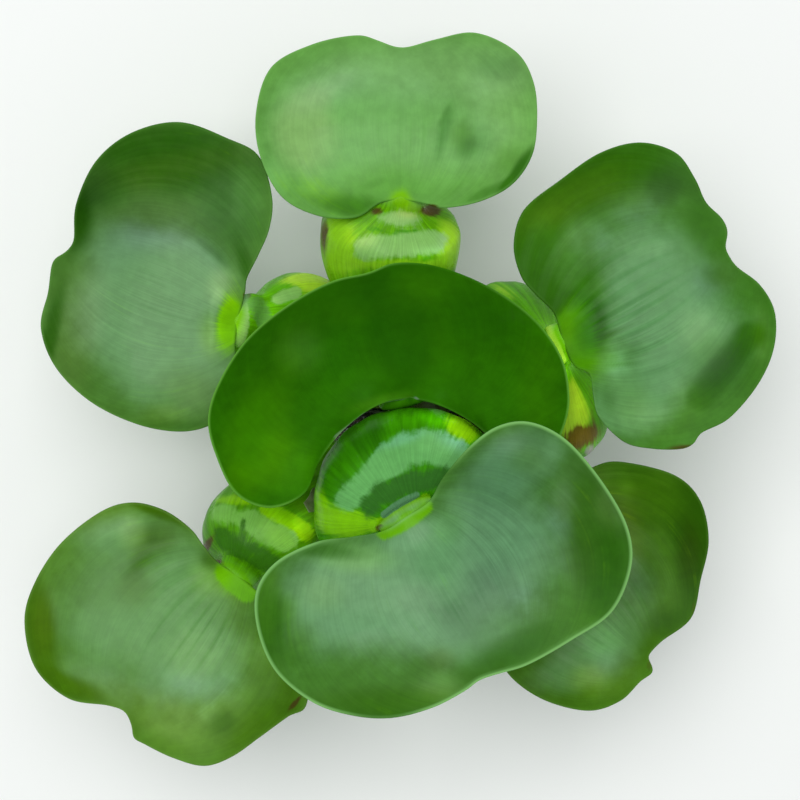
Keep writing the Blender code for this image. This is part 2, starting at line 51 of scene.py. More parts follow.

# One entry for each leaf, named by where it lies. Outline, height and float are the leaf's shape.
# The patches are soft ovals on the leaf as it is seen: (x, y, long radius, short radius, turn, amount),
# or bands: (points of its line, half width, amount). The pale sage and paler patches are painted
# reflections of the sky and painted highlights, and the deep green patches are painted shade. On the floats,
# mint marks are painted reflections of the sky, grey marks painted highlights and deep green marks painted
# shade. Gold and brown are the plant's own colour. A light and shade wash is an oval whose amount is
# replaced by factors for red, green and blue, which were set by comparing renders with the photograph;
# it paints light and shade onto the colour as well as changing its tone.
leaves = {
    "north": {
        "neck": (-4.7, 55.0),
        "right": [(0.5, 54.2), (6, 53), (15, 54.6), (23, 58.8), (28, 66), (29.3, 75), (28.4, 84.5),
                  (24, 92.1), (14, 96.8), (4, 95.2)],
        "notch": (-5.0, 92.5),
        "left": [(-10, 54.2), (-16, 50.6), (-25.4, 51.0), (-34.6, 55.8), (-40, 66), (-41, 77),
                 (-37.2, 88.2), (-27, 93.9), (-16, 96.2), (-10.2, 94.8)],
        "height": 60.0, "rise": 0.16, "cup": 4.0, "wave": 1.2,
        "foot": (90, 31.5), "belly": (-7.4, 45.2, 47.0), "radius": 17.9, "depth": 0.74,
        "shoulder": "blunt",
        "neckWidth": 6.0, "fold": 0.04, "veinShow": 0.6, "notchRound": 2.4,
        "green": (100, 158, 72), "sheenGreen": (116, 173, 96), "shadeGreen": (52, 108, 12),
        "goldGreen": (124, 190, 30), "highlightGreen": (138, 180, 108),
        "rimHighlightGreen": (110, 166, 84), "rim": 0.3, "goldReach": 2.4,
        "paintedSheen": [(-6, 72, 22, 15, 0, 0.75), (14, 70, 10, 12, 0, 0.25), (-26, 72, 14, 14, 0, 0.8)],
        "paintedHighlight": [(-29, 72, 9, 11, 0, 0.9), (-22, 84, 8, 4, 20, 0.3)],
        "gold": [(-4.8, 54.0, 5.0, 1.3, 0, 0.5), (-24, 56, 11, 4, -20, 0.3)],
        "shade": [(-27, 89.5, 9, 1.8, 26, 0.3), (18, 89, 10, 2.4, -24, 0.2), (25, 62.5, 8, 2.0, 56, 1.0),
                  (17, 57, 8, 1.8, 24, 0.6), (-23, 54.0, 11, 2.0, -20, 0.4), (6, 76, 6, 1.0, 62, 0.4),
                  (-12, 59, 5, 1.6, 20, 0.35)],
        "lightShadeWash": [(4, 88, 26, 8, 0, (1.45, 1.18, 1.9)), (-24, 84, 12, 6, 20, (1.25, 1.1, 1.5)),
                 (20, 76, 9, 14, 0, (1.3, 1.1, 1.5)), (-8, 60, 20, 5, 0, (0.92, 1.0, 0.75)),
                 (-16, 53.4, 9, 3, -8, (0.5, 0.66, 0.3)), (-38, 60, 4, 8, 30, (1.2, 1.15, 1.4)),
                 (6, 72, 1.6, 7, -14, (0.55, 0.68, 0.5)), (12, 68, 3.4, 2.4, 40, (0.6, 0.72, 0.5)),
                 (-17, 53, 8, 3, -6, (0.75, 0.85, 0.5)),
                 (14, 70, 5, 5, 0, (0.75, 0.85, 0.75)), (19, 88, 6, 4, 0, (0.72, 0.78, 0.72)),
                 (10.5, 71, 3.5, 4, 0, (0.62, 0.72, 0.4)),
                 (23, 65, 5, 4, 0, (0.72, 0.82, 0.55))],
        "folds": [(4, 64, 16, 10, 0, 1.0)],
        "brown": [(-11.0, 52.6, 1.8, 0.8, 10, 0.9), (2.6, 53.3, 2.4, 0.8, 0, 0.9)],
        "floatGreen": (100, 170, 20), "floatYellow": (138, 200, 40), "reflectionGreen": (138, 192, 104),
        "shadingGreen": (74, 150, 24),
        "floatMint": [(-5.0, 50.4, 5.6, 2.3, 0, 1.0), ([(-13.5, 43.0), (-5.2, 43.6), (3.6, 44.6)], 3.4, 1.0)],
        "floatDark": [([(-13, 48.0), (-7, 46.9), (-1, 47.4)], 0.7, 0.7), (1, 40.2, 4.5, 0.9, 8, 0.6)],
        "floatGold": [(-20.5, 43.5, 5.0, 9, 0, 1.0), (7.6, 45.5, 4.0, 8, 0, 1.0), (-7, 39, 16, 1.6, 0, 0.7)],
        "floatBrown": [(-24.0, 46, 1.3, 5, 0, 0.7), (2.8, 52.4, 3.2, 1.6, 0, 1.0),
                       (-10.8, 52.2, 1.8, 1.0, 12, 0.9)],
        "floatLightShadeWash": [(-5, 50.6, 4, 1.6, 0, (1.4, 1.2, 1.4)), (4, 41, 6, 2.6, 0, (1.4, 1.4, 1.6)),
                      (-2, 52.2, 4, 1.6, 0, (1.7, 1.3, 1.2)), (-14.5, 46, 4, 3, 0, (1.6, 1.3, 1.3)),
                      (8, 45, 3, 5, 0, (1.45, 1.2, 1.9))],
    },
    "northwest": {
        "neck": (-45.5, 24.5),
        "right": [(-43.8, 31.5), (-43.2, 35.5), (-40.5, 41), (-37.6, 48), (-37, 56), (-40.3, 66),
                  (-48, 70.4), (-60, 74.5), (-72, 71.9), (-81, 64.8), (-86, 54), (-86.6, 45)],
        "notch": (-88.5, 42.0),
        "left": [(-46.2, 18), (-45.6, 12), (-46.5, 5), (-51, -0.5), (-59, -2.9), (-70, -1.3),
                 (-82, 4.3), (-91, 13), (-94.8, 23), (-93, 32), (-91.8, 39.5)],
        "height": 58.5, "rise": 0.12, "roll": -0.05, "cup": 4.5, "wave": 1.5,
        "foot": (144, 26.6), "belly": (-30.0, 20.2, 32.5), "radius": 17.2, "depth": 0.68,
        "shoulder": "mild",
        "neckWidth": 8.0, "fold": 0.05, "veinShow": 1.0,
        "green": (76, 122, 50), "sheenGreen": (109, 153, 102), "shadeGreen": (44, 90, 10),
        "goldGreen": (112, 182, 14), "highlightGreen": (120, 166, 112),
        "rimHighlightGreen": (96, 146, 66), "rim": 0.2, "goldReach": 3.6,
        "paintedSheen": [(-68, 29, 20, 13, 10, 0.95), (-62, 13, 18, 11, -20, 0.85), (-57, 37, 10, 8, -30, 0.7),
                  (-70, 42, 15, 8, -12, 0.75)],
        "paintedHighlight": [(-63, 6, 14, 5, -15, 0.35), (-50.5, 30.5, 1.8, 4, -20, 0.8), (-51.8, 24, 1.4, 6, -5, 0.7)],
        "gold": [(-47.7, 24.3, 3.3, 7.8, -6, 1.0)],
        "shade": [(-62, 66, 26, 11, 0, 0.85), (-41, 51, 4, 12, 0, 0.3), (-86, 50, 5, 9, 0, 0.9),
                  (-92.5, 20, 2.6, 17, -12, 0.8), (-62, -1.5, 14, 2.0, 0, 0.4),
                  (-48.4, 20.0, 1.1, 1.3, 0, 0.8), (-43.5, 38, 2, 7, 20, 0.6),
                  (-52, 42, 7, 1.4, -38, 0.5), (-48, 50, 6, 7, 0, 0.35)],
        "lightShadeWash": [(-62, 63, 20, 4, 12, (1.5, 1.15, 1.3)), (-76, 45, 10, 8, 30, (0.95, 0.95, 1.05)),
                 (-66, 50, 12, 7, 0, (1.15, 0.95, 1.5)), (-86, 22, 6, 18, -10, (1.35, 1.1, 1.3)),
                 (-48, 52, 9, 12, 0, (0.85, 0.9, 1.2)), (-56, 6, 10, 7, -20, (0.72, 0.78, 0.45)),
                 (-49, 33, 4, 5, 0, (1.6, 1.35, 1.3)), (-84, 56, 6, 8, -30, (0.6, 0.65, 0.7)),
                 (-43, 56, 4, 8, 0, (1.6, 1.45, 1.8)), (-64, 1, 6, 3, 0, (1.2, 1.1, 0.85)),
                 (-52, 21, 3, 5, 0, (1.5, 1.4, 1.0)), (-78, 58, 6, 5, 0, (0.55, 0.7, 0.5))],
        "folds": [(-66, 26, 22, 14, 0, 1.0)],
        "brown": [(-43.4, 31.0, 1.0, 1.6, 0, 0.6)],
        "floatGreen": (92, 168, 26), "floatYellow": (164, 208, 56), "reflectionGreen": (138, 192, 102),
        "shadingGreen": (90, 150, 62),
        "floatMint": [([(-35.5, 30.4), (-33, 31.4), (-31, 31.8)], 1.6, 1.0),
                      ([(-44.2, 28), (-44.0, 24), (-45.2, 19.5)], 1.5, 1.0)],
        "floatDark": [([(-40.6, 28.5), (-38.6, 24)], 2.5, 1.0)],
        "floatGold": [(-31.0, 36.2, 11, 2.0, 6, 1.0), (-26, 34.4, 5, 3.6, 10, 1.0)],
        "floatBrown": [(-22, 38.2, 2.4, 0.8, 0, 0.6), (-43.4, 31.4, 1.3, 1.2, 0, 1.0)],
        "floatLightShadeWash": [(-39.5, 26.5, 5, 5, 0, (1.9, 1.7, 1.8)), (-30, 35, 12, 2.6, 0, (1.3, 1.25, 1.1)),
                      (-45.5, 21, 2.5, 4, 0, (1.5, 1.4, 1.2))],
    },
    "northeast": {
        "neck": (35.5, 19.5),
        "right": [(38.5, 13.5), (42.3, 11.5), (43.3, 6), (44.8, 0.6), (51, -5.5), (58, -7.2),
                  (65, -7.3), (68.3, -6), (70.5, -3.2), (77.4, 0.5), (84.6, 9.0), (88.5, 18), (88.7, 27),
                  (85, 33.8), (79, 38.6)],
        "notch": (76.2, 43.0),
        "left": [(33.5, 26.5), (29, 31.2), (25.2, 36), (23.4, 44), (26, 52.6), (35, 60), (45, 66.8),
                 (55, 69.4), (64, 66.8), (68.7, 60.5), (71.5, 54.5), (75.5, 50.4), (76.9, 47)],
        "height": 66.0, "rise": 0.06, "cup": 4.0, "wave": 1.8,
        "foot": (25, 30.5), "belly": (28.8, 12.3, 43.0), "radius": 25.6, "depth": 0.70,
        "shoulder": "slim",
        "neckWidth": 5.5, "fold": 0.11, "veinShow": 1.0,
        "green": (66, 118, 40), "sheenGreen": (104, 153, 100), "shadeGreen": (50, 100, 20),
        "goldGreen": (78, 146, 2), "highlightGreen": (124, 172, 114),
        "rimHighlightGreen": (96, 146, 66), "rim": 0.15, "goldReach": 3.5,
        "paintedSheen": [(58, 37, 15, 13, -35, 0.85), (66, 20, 15, 12, 0, 0.95), (53, 4, 12, 9, 20, 0.8),
                  (48, 26, 8, 8, 0, 0.5)],
        "paintedHighlight": [(72, 22, 8, 8, 0, 0.6), (56, 43, 9, 3, 0, 0.4), (57, 3, 8, 6, 0, 0.25)],
        "gold": [(38.6, 18.0, 5.4, 8.0, 8, 1.0), (40, 27, 5, 6, 20, 0.5), (35.6, 22, 2.0, 4, 0, 0.6)],
        "shade": [(44, 60, 26, 9, 28, 0.9), (28, 42, 7, 14, 0, 0.85),
                  ([(82, 21), (75, 12), (70, 6)], 4.2, 0.8),
                  (35, 29, 5, 6, 30, 0.8), (71, 49, 6, 8, 0, 0.6), (87, 26, 3, 12, 0, 0.45),
                  (43, 25, 5, 9, 10, 0.7), (50, 22.5, 6, 0.9, 25, 0.5), (51, 14, 5, 0.8, 4, 0.5),
                  (47, 5, 2.4, 5, 10, 0.4), (73, 36, 4, 3, 0, 0.4)],
        "lightShadeWash": [(38, 56, 15, 5, 28, (1.9, 1.3, 2.6)), (54, 55, 10, 5, 10, (1.5, 1.15, 2.4)),
                 (32, 47, 8, 7, 20, (1.5, 1.25, 1.9)), (67, 60, 7, 4, -50, (0.6, 0.65, 0.5)),
                 (58, 24, 10, 18, 0, (0.85, 0.9, 0.85)), (74, 14, 8, 8, 10, (0.55, 0.7, 0.4)),
                 (85.5, 21, 2.4, 7, 0, (1.6, 1.3, 1.8)), (47, 15, 5, 6, 0, (1.5, 1.35, 1.5)),
                 (46, 28, 5, 4, 30, (0.7, 0.8, 0.6)), (58, -1, 9, 5, -10, (1.3, 1.2, 1.2)),
                 (74, 36, 6, 5, 20, (1.2, 1.0, 1.6)),
                 (43.5, 22, 3.6, 6, 0, (0.55, 0.75, 0.5)), (36.5, 22, 2, 5, 0, (1.25, 1.1, 0.6)),
                 (40, 18, 5, 8, 0, (1, 1, 0.3)), (60.5, 58, 5, 5, 0, (0.5, 0.55, 0.5)),
                 (48.5, 14.5, 3.4, 3.4, 0, (1.5, 1.4, 2.0)), (68, 23, 5, 5, 0, (1.2, 1.12, 1.15)),
                 (67, 5, 5, 5, 0, (1.3, 1.2, 1.2)),
                 (41.8, 46, 5, 5, 0, (1.5, 1.2, 2.2)), (42, 21, 4, 5, 0, (0.7, 0.78, 0.3)),
                 (52, 5, 6, 6, 0, (0.88, 0.92, 0.72)), (30, 45, 4, 5, 0, (1, 1.05, 1.9)),
                 (42, 32, 4, 5, 0, (0.75, 0.98, 0.3))],
        "folds": [(54, 22, 11, 9, 0, 1.0), (48, 4, 8, 8, 0, 0.6)],
        "brown": [(66, -6.9, 5, 0.9, 0, 0.5), (76.7, 47, 0.7, 2, 0, 0.4)],
        "floatGreen": (82, 154, 10), "floatYellow": (150, 196, 54), "reflectionGreen": (140, 198, 80),
        "shadingGreen": (70, 130, 14), "glintGrey": (156, 158, 146),
        "floatMint": [([(32.0, 24), (33.4, 20.5), (35.6, 15)], 1.1, 1.0)],
        "floatDark": [],
        "floatGold": [(22.5, 32.5, 6, 2.8, -14, 1.0), ([(40.6, 7), (40, 2), (38.5, -2)], 3.8, 1.0),
                      (39.6, 11, 2.4, 3.4, 0, 0.5)],
        "floatBrown": [(40.0, -4.2, 5.4, 3.1, 20, 1.0), (43.0, 3, 0.8, 6, 8, 0.4),
                       (22, 35.4, 6, 0.7, -8, 0.4)],
        "floatLightShadeWash": [(37.5, 1, 4, 6, 0, (1.25, 1.2, 0.9)), (22, 33, 6, 3, -10, (1.2, 1.15, 1.0)),
                      (34.6, 17, 3.4, 8, 12, (3.0, 2.4, 1.3)), (41.6, 7, 3.4, 8, 0, (2.0, 1.8, 1.0)),
                      (41, -5, 4, 3, 20, (2.5, 2.1, 2.6)), (36, 13, 3, 3, 0, (1.6, 1.7, 1.2)),
                      (29, 27, 5, 3, -45, (1.3, 1.2, 0.8))],
        "floatSilver": [(42.8, -8.0, 1.8, 2.4, -20, 1.0)],
    },
    "southwest": {
        "neck": (-45.5, -38.5),
        "right": [(-50.5, -35.5), (-54, -31.5), (-57.5, -27), (-64, -22.5), (-72, -20.6), (-80, -23),
                  (-90, -31), (-96.5, -41), (-98.9, -50.5), (-96.2, -62), (-88, -69.6), (-78, -71.4),
                  (-73.8, -73.0)],
        "notch": (-72.0, -76.5),
        "left": [(-41, -42.5), (-36, -47), (-31, -53), (-28, -62), (-28.5, -71.5), (-33, -74.2),
                 (-40, -79.3), (-47, -84.2), (-54, -86.5), (-62, -84.4), (-69, -81.0), (-71.6, -79.4)],
        "height": 58.0, "rise": 0.14, "cup": 3.5, "wave": 1.6,
        "foot": (218, 31.5), "belly": (-38.5, -28.4, 39.0), "radius": 15.9, "depth": 0.86,
        "shoulder": "mild",
        "neckWidth": 5.5, "fold": 0.08, "veinShow": 0.8,
        "green": (80, 126, 40), "sheenGreen": (104, 151, 90), "shadeGreen": (66, 108, 22),
        "goldGreen": (98, 168, 6), "highlightGreen": (126, 172, 106),
        "rimHighlightGreen": (112, 150, 70), "rim": 0.2, "goldReach": 4.5,
        "paintedSheen": [(-68, -46, 25, 19, 35, 1.0), (-54, -60, 13, 10, 0, 0.7), (-74, -29, 12, 5, 0, 0.6)],
        "paintedHighlight": [(-56, -58, 9, 8, 30, 0.6), (-78, -44, 8, 6, 30, 0.25)],
        "gold": [([(-48.6, -37.8), (-46.3, -40.2), (-43.2, -43.2)], 2.5, 1.0)],
        "shade": [(-94.8, -52, 4.6, 15, 8, 1.0), (-87, -67, 11, 3.4, -18, 0.8),
                  (-66, -22.3, 11, 2.0, -22, 1.0),
                  (-70, -35, 8, 3, 62, 0.45), (-40, -77, 13, 7, 38, 0.6), (-32, -60, 5, 11, 0, 0.6),
                  (-37, -51, 6, 5, -40, 0.5), (-56, -30, 3, 6, 40, 0.4), (-62, -82, 9, 3, -20, 0.4)],
        "lightShadeWash": [(-70, -71, 20, 5, -25, (1.5, 1.2, 2.0)), (-54, -71, 12, 6, -20, (1.5, 1.25, 2.2)),
                 (-68, -31, 8, 6, 50, (0.65, 0.72, 0.45)), (-52, -39, 5, 5, 0, (1.4, 1.3, 1.0)),
                 (-79, -41, 9, 8, 20, (0.82, 0.84, 0.72)), (-78, -25, 8, 4, 20, (1.4, 1.2, 1.5)),
                 (-41, -58, 7, 5, 0, (1.25, 1.2, 1.2)), (-38, -48, 5, 5, 0, (0.65, 0.8, 0.6)),
                 (-62, -80, 9, 4, -24, (1.4, 1.25, 1.7)),
                 (-49.4, -75.6, 4, 3, 20, (0.58, 0.68, 0.45)), (-46, -41, 4, 6, 40, (1, 1, 0.3)),
                 (-52.4, -35, 3, 2.4, -40, (0.4, 0.5, 0.2)),
                 (-64.5, -29, 5, 4, 0, (0.72, 0.7, 0.5)), (-71.5, -28.5, 3.5, 4, 0, (1.6, 1.3, 1.5)),
                 (-46, -67, 5, 4, 0, (1.35, 1.25, 1.8)), (-94, -50, 3.4, 8, 0, (1.3, 1.05, 1.8)),
                 (-71, -42, 5, 5, 0, (0.8, 0.8, 0.6)), (-52.6, -72.6, 2.6, 3, 0, (1.4, 1.3, 2.0))],
        "folds": [(-48, -52, 10, 10, 0, 1.0), (-62, -34, 9, 9, 0, 0.5)],
        "brown": [(-74, -76.5, 1.0, 3, 0, 0.5), (-48.2, -36.2, 1.2, 0.8, 0, 0.9),
                  (-79, -72.0, 7, 0.7, 4, 0.35),
                  (-31.3, -70.8, 2.6, 0.55, 50, 1.0)],
        "floatGreen": (84, 152, 16), "floatYellow": (130, 194, 24), "reflectionGreen": (118, 180, 78),
        "shadingGreen": (60, 114, 32),
        "floatMint": [(-48.7, -23.6, 3.8, 2.7, -20, 1.0),
                      ([(-42.5, -25), (-38.5, -27.8), (-33.5, -30)], 3.1, 1.0)],
        "floatDark": [([(-49.5, -29.5), (-46, -31.5), (-41.5, -33.8), (-37, -36)], 2.9, 1.0),
                      (-44.2, -27, 0.9, 3.0, 0, 0.7)],
        "floatGold": [([(-38, -22.4), (-33.5, -24.8), (-28.6, -28.2)], 2.4, 1.0), (-46, -20, 6, 1.5, 0, 0.8)],
        "floatBrown": [(-53.6, -32.0, 1.0, 4, -32, 1.0), (-50.2, -36.0, 1.6, 1.2, -30, 1.0)],
        "floatLightShadeWash": [(-34, -28.6, 6, 4, -30, (1.6, 1.45, 1.2)), (-34, -23.4, 8, 2.6, -30, (1.05, 1.2, 1.5)),
                      (-28.5, -25, 3, 4, 0, (2.8, 2.2, 9.0))],
    },
    "southeast": {
        "neck": (30.0, -31.0),
        "right": [(26, -34.5), (21.5, -39.5), (18.5, -47), (18.5, -56), (22.5, -64), (31, -70),
                  (42, -72.7), (50, -70.3), (55, -65.5), (58.2, -62.8)],
        "notch": (56.8, -59.0),
        "left": [(34, -27), (36.5, -21.5), (39, -15), (44.5, -11.2), (51, -10.5), (63.5, -13.7),
                 (70, -20), (72.2, -30), (70.2, -40), (67.8, -49.5), (60.5, -55.3)],
        "height": 57.0, "rise": 0.08, "cup": 3.5, "wave": 1.6,
        "foot": (312, 29.5), "belly": (22.5, -28.0, 37.5), "radius": 12.6, "depth": 0.95,
        "shoulder": "mild",
        "neckWidth": 5.0, "fold": 0.08, "veinShow": 1.3,
        "green": (70, 116, 32), "sheenGreen": (98, 144, 84), "shadeGreen": (48, 88, 12),
        "goldGreen": (116, 182, 20), "highlightGreen": (104, 148, 90),
        "rimHighlightGreen": (92, 136, 52), "rim": 0.2, "goldReach": 5.0,
        "paintedSheen": [(52, -42, 8, 11, 20, 0.45), (44, -56, 12, 8, 20, 0.95), (36, -64, 10, 5, 10, 0.6)],
        "paintedHighlight": [(47, -53, 6, 4, 30, 0.3)],
        "shade": [(58, -19, 18, 9, -18, 0.95), (69, -34, 6, 17, 0, 0.95), (61, -51, 6, 5, 0, 0.6),
                  (50, -28, 8, 4, 20, 0.3)],
        "lightShadeWash": [(42, -20, 12, 9, -20, (1.55, 1.15, 2.5)), (58, -20, 8, 7, 0, (1.9, 1.6, 1.6)),
                 (51, -32, 4.5, 10, 0, (2.0, 1.4, 3.6)), (48, -64, 8, 6, 20, (1.45, 1.2, 1.9)),
                 (62, -42, 6, 6, 0, (1.05, 1.0, 1.4)), (39, -49, 7, 5, 0, (0.85, 0.88, 0.75)),
                 (42, -65, 5, 4, 0, (1.25, 1.15, 0.65)), (45, -55, 5, 5, 0, (1.45, 1.5, 1.6)),
                 (55, -40, 4, 5, 0, (0.75, 0.82, 0.8)),
                 (67.5, -33, 3, 8, 0, (1, 0.78, 0.85)), (49, -16, 5, 4, 0, (1.8, 1.7, 2.2))],
        "folds": [(46, -48, 14, 10, 0, 1.0)],
        "brown": [(57.2, -61.2, 1.0, 2.0, 0, 0.5), (68.3, -47, 0.8, 4, 10, 0.3)],
        "floatGreen": (88, 150, 20), "floatYellow": (130, 186, 40), "reflectionGreen": (110, 170, 84),
        "shadingGreen": (60, 118, 30),
        "floatMint": [(24, -25, 8, 4, 0, 0.7)],
        "floatDark": [(28, -30, 5, 3, 0, 0.5)],
        "floatGold": [(20, -24, 4, 6, 0, 0.6)],
        "floatBrown": [(34, -20, 3, 3, 0, 0.5)],
    },
    "inner_north": {
        "neck": (-2.5, 5.3),
        "right": [(4, 3.9), (10.6, 0.9), (16.3, -3.3), (20.8, -8.9), (27, -12.2), (33, -8), (36.6, 0),
                  (37.3, 7), (35.5, 15.5), (30, 23.8), (22, 30.5), (12, 35.8), (2, 38.9), (-7, 39.2)],
        "notch": (-12.5, 36.8),
        "left": [(-9, 4.2), (-15, 1), (-21, -4.5), (-25.5, -11), (-29, -18.5), (-37.5, -22),
                 (-46, -18.5), (-51, -9), (-53, 0), (-50.5, 9), (-43.5, 20), (-33, 28.8), (-22, 34.7)],
        "height": 73.0, "rise": 0.50, "cup": 9.0, "wave": 0.8, "waves": 2,
        "foot": None, "belly": (-4.0, 13.6, 56.5), "radius": 7.8, "depth": 1.0,
        "shoulder": "blunt",
        "neckWidth": 8.0, "crest": 3.0, "fold": 0.0, "veinShow": 0.8, "notchRound": 2.0, "gloss": 0.25,
        "green": (44, 106, 3), "sheenGreen": (60, 122, 1), "shadeGreen": (32, 88, 6),
        "goldGreen": (44, 98, 10), "highlightGreen": (116, 142, 112),
        "rimHighlightGreen": (104, 168, 62), "rim": 0.8, "rimWide": 0.7, "goldReach": 1.0,
        "paintedSheen": [(-41, -6, 9, 15, -15, 0.95), (30, 6, 7, 14, 0, 0.5), (-38, 8, 10, 8, 30, 0.3)],
        "paintedHighlight": [([(-21, -4.1), (-14, 1.3), (-8, 4.1), (-1, 5.3)], 0.45, 1.0)],
        "shade": [(-5, 22, 10, 14, 15, 0.95), (-20, 30, 14, 5, 30, 0.5), (15, 25, 12, 8, -30, 0.45)],
        "lightShadeWash": [(-10, 31, 20, 5, 12, (1.45, 1.25, 1.25)), (-2, 22, 9, 12, 0, (1.35, 1.15, 1.1)),
                 (-22, 17, 8, 8, 0, (0.85, 0.92, 1.3)), (-33, -11, 7, 8, 20, (1.55, 1.3, 0.6)),
                 (-42, -2, 6, 12, 0, (1.05, 1.12, 0.75)), (34, 24, 5, 8, 30, (1.4, 1.35, 0.5)),
                 (28, -8, 8, 5, 0, (1.35, 1.15, 1.7)),
                 (-30, 17.5, 6, 6, 0, (1.9, 1.3, 4.0)), (-45, -15, 5, 5, 0, (1.35, 1.18, 0.5)),
                 (-9, 4.6, 8, 1.8, 14, (2.0, 1.4, 3.4)), (-30, 17.5, 5, 5, 0, (1.05, 1.02, 1.8))],
        "folds": [(0, 10, 20, 8, 0, 1.0)],
        "rimFade": [(10, 38, 26, 5, -14, 1.0), (30, 30, 14, 5, -45, 0.8), (-2, 0, 30, 8, 0, 1.0),
                    (-28, -12, 6, 10, 0, 1.0)],
        "floatGreen": (70, 130, 20), "floatYellow": (110, 170, 30), "reflectionGreen": (100, 150, 80),
        # This float shows only in shade between the inner leaves, so it is painted in deep shade all over.
        "shadingGreen": (24, 56, 14),
        "floatDark": [(-4, 12, 14, 12, 0, 1.0)],
    },
    "inner_south": {
        "neck": (-3.5, -24.0),
        "right": [(-9, -27.6), (-17, -29.2), (-26, -30.5), (-36, -35.5), (-41, -43), (-40.5, -53),
                  (-36, -63), (-27, -70.5), (-17, -73.9), (-7, -74.5), (3, -72), (11, -67.9),
                  (15, -65)],
        "notch": (19.5, -63.5),
        "left": [(2.2, -20.3), (6, -14), (13, -6), (20, -1.3), (28, -0.6), (37, -5.3), (46, -16),
                 (52, -27), (52.8, -37), (48, -48), (38, -55), (27, -61.2)],
        "height": 96.5, "rise": -0.08, "cup": 6.0, "wave": 0.8,
        "foot": None, "belly": (-1.8, -21.0, 68.0), "radius": 24.6, "depth": 0.97,
        "shoulder": "blunt",
        "neckWidth": 7.4, "crest": 3.4, "fold": 0.10, "veinShow": 1.0, "notchRound": 1.6,
        "green": (68, 116, 44), "sheenGreen": (110, 155, 110), "shadeGreen": (48, 95, 26),
        "goldGreen": (100, 168, 24), "highlightGreen": (126, 168, 124),
        "rimHighlightGreen": (126, 182, 104), "rim": 0.85, "rimWide": 1.0, "goldReach": 1.6,
        "paintedSheen": [(0, -45, 24, 14, -14, 1.0), (20, -28, 14, 16, 40, 0.9), (-22, -46, 14, 12, 0, 0.85),
                  (25, -9, 12, 7, 20, 0.9), (0, -30, 9, 6, 0, 0.6)],
        "paintedHighlight": [(-14, -42, 16, 9, -8, 0.6), (2, -29, 6, 5, 0, 0.4)],
        "gold": [([(-9, -28.2), (-6, -27.0), (-2, -24.6), (1.4, -21.9)], 1.9, 1.0)],
        "shade": [(44.5, -29, 8.5, 25, 8, 1.0), (-8, -70.6, 24, 5.0, 2, 0.85), (-38, -50, 5, 15, 0, 0.7),
                  (24, -57, 14, 5.0, 28, 0.6), (-24, -32.5, 12, 2.6, -8, 0.6)],
        "lightShadeWash": [(20, -14, 12, 9, 20, (0.55, 0.66, 0.6)), (22, -30, 14, 12, -20, (0.74, 0.8, 0.82)),
                 (10, -50, 8, 6, -20, (0.66, 0.7, 0.66)), (4, -34, 6, 8, 0, (0.85, 0.95, 0.85)),
                 (42, -18, 7, 10, 0, (1.55, 1.18, 2.6)), (40, -34, 5, 8, 0, (1.25, 1.0, 1.6)),
                 (28, -46, 6, 5, 10, (1.35, 1.15, 1.8)), (-6, -70, 22, 3.6, 2, (1.6, 1.25, 1.7)),
                 (-17, -34, 10, 4, -6, (1.3, 1.3, 0.95)), (-38, -45, 3, 10, 0, (1.4, 1.3, 0.9)),
                 (-31, -56, 5, 6, -30, (0.7, 0.8, 0.45)), (44, -50, 6, 6, 40, (1.0, 1.05, 0.7)),
                 (5, -66.5, 5, 4, 10, (1.9, 1.5, 2.6)), (27, -10, 5, 4, 0, (0.8, 0.86, 0.6)),
                 (29, -4, 6, 4, 0, (0.66, 0.74, 0.6)), (-34, -48, 3.5, 5, 0, (0.75, 0.9, 0.4)),
                 (-25, -43, 6, 5, 0, (1.13, 1.08, 0.95)), (0, -45, 6, 5, 0, (1.12, 1.0, 1.1)),
                 (5, -60, 4, 3, 0, (0.98, 0.88, 0.75)), (7, -27, 4, 4, 0, (0.9, 1.0, 0.8)),
                 (17, -42, 7, 7, 0, (0.76, 0.74, 0.8)),
                 (48, -22, 4, 6, 10, (1.9, 1.3, 3.2)), (36, -22, 4, 7, 0, (1.5, 1.2, 2.2)),
                 (23, -5, 5, 4, 0, (1.3, 1.15, 1.4))],
        "folds": [(17, -30, 11, 12, -30, 1.0), (-4, -30, 8, 4, 0, 0.3)],
        "brown": [(-9.8, -27.0, 1.0, 0.7, 30, 0.9)],
        "rimFade": [(-14, -29, 16, 4, -8, 1.0), (4, -15, 12, 4, 50, 1.0), (-8, -75, 18, 3, 0, 0.8)],
        "floatGreen": (60, 134, 6), "floatYellow": (122, 190, 26), "reflectionGreen": (102, 170, 94),
        "shadingGreen": (54, 108, 40), "glintGrey": (92, 142, 98),
        "floatMint": [([(-17.8, -19.8), (-14.4, -16.4), (-11.2, -13.0), (-8, -10.6)], 3.6, 1.0),
                      ([(-7, -9.4), (-3.5, -7.4), (0, -6.6), (4.5, -6.9), (8.2, -9.0)], 4.5, 1.0)],
        "floatDark": [([(-12.4, -21.5), (-9.5, -18.6), (-4, -16.2), (1.6, -15.0), (6, -14.2)], 3.0, 1.0)],
        "floatGold": [(-18.8, -25.5, 8, 4.2, -8, 1.0), (10.5, -2.0, 4.6, 3.4, -35, 1.0),
                      (-24.8, -20, 1.8, 6, 8, 0.6), ([(-11, -26.6), (-5, -23.4), (1.4, -19.8)], 1.5, 1.0)],
        "floatBrown": [(-10.0, -26.9, 1.2, 0.9, 20, 1.0)],
        "floatLightShadeWash": [(10, -3, 6, 4, -25, (1.7, 1.45, 3.0)), (-1, 0.5, 8, 2.4, 0, (1.6, 1.5, 1.3)),
                      (5, -5.5, 6, 3.5, 0, (1.3, 1.2, 1.3)), (-22, -9, 5, 7, -50, (0.85, 0.85, 0.7)),
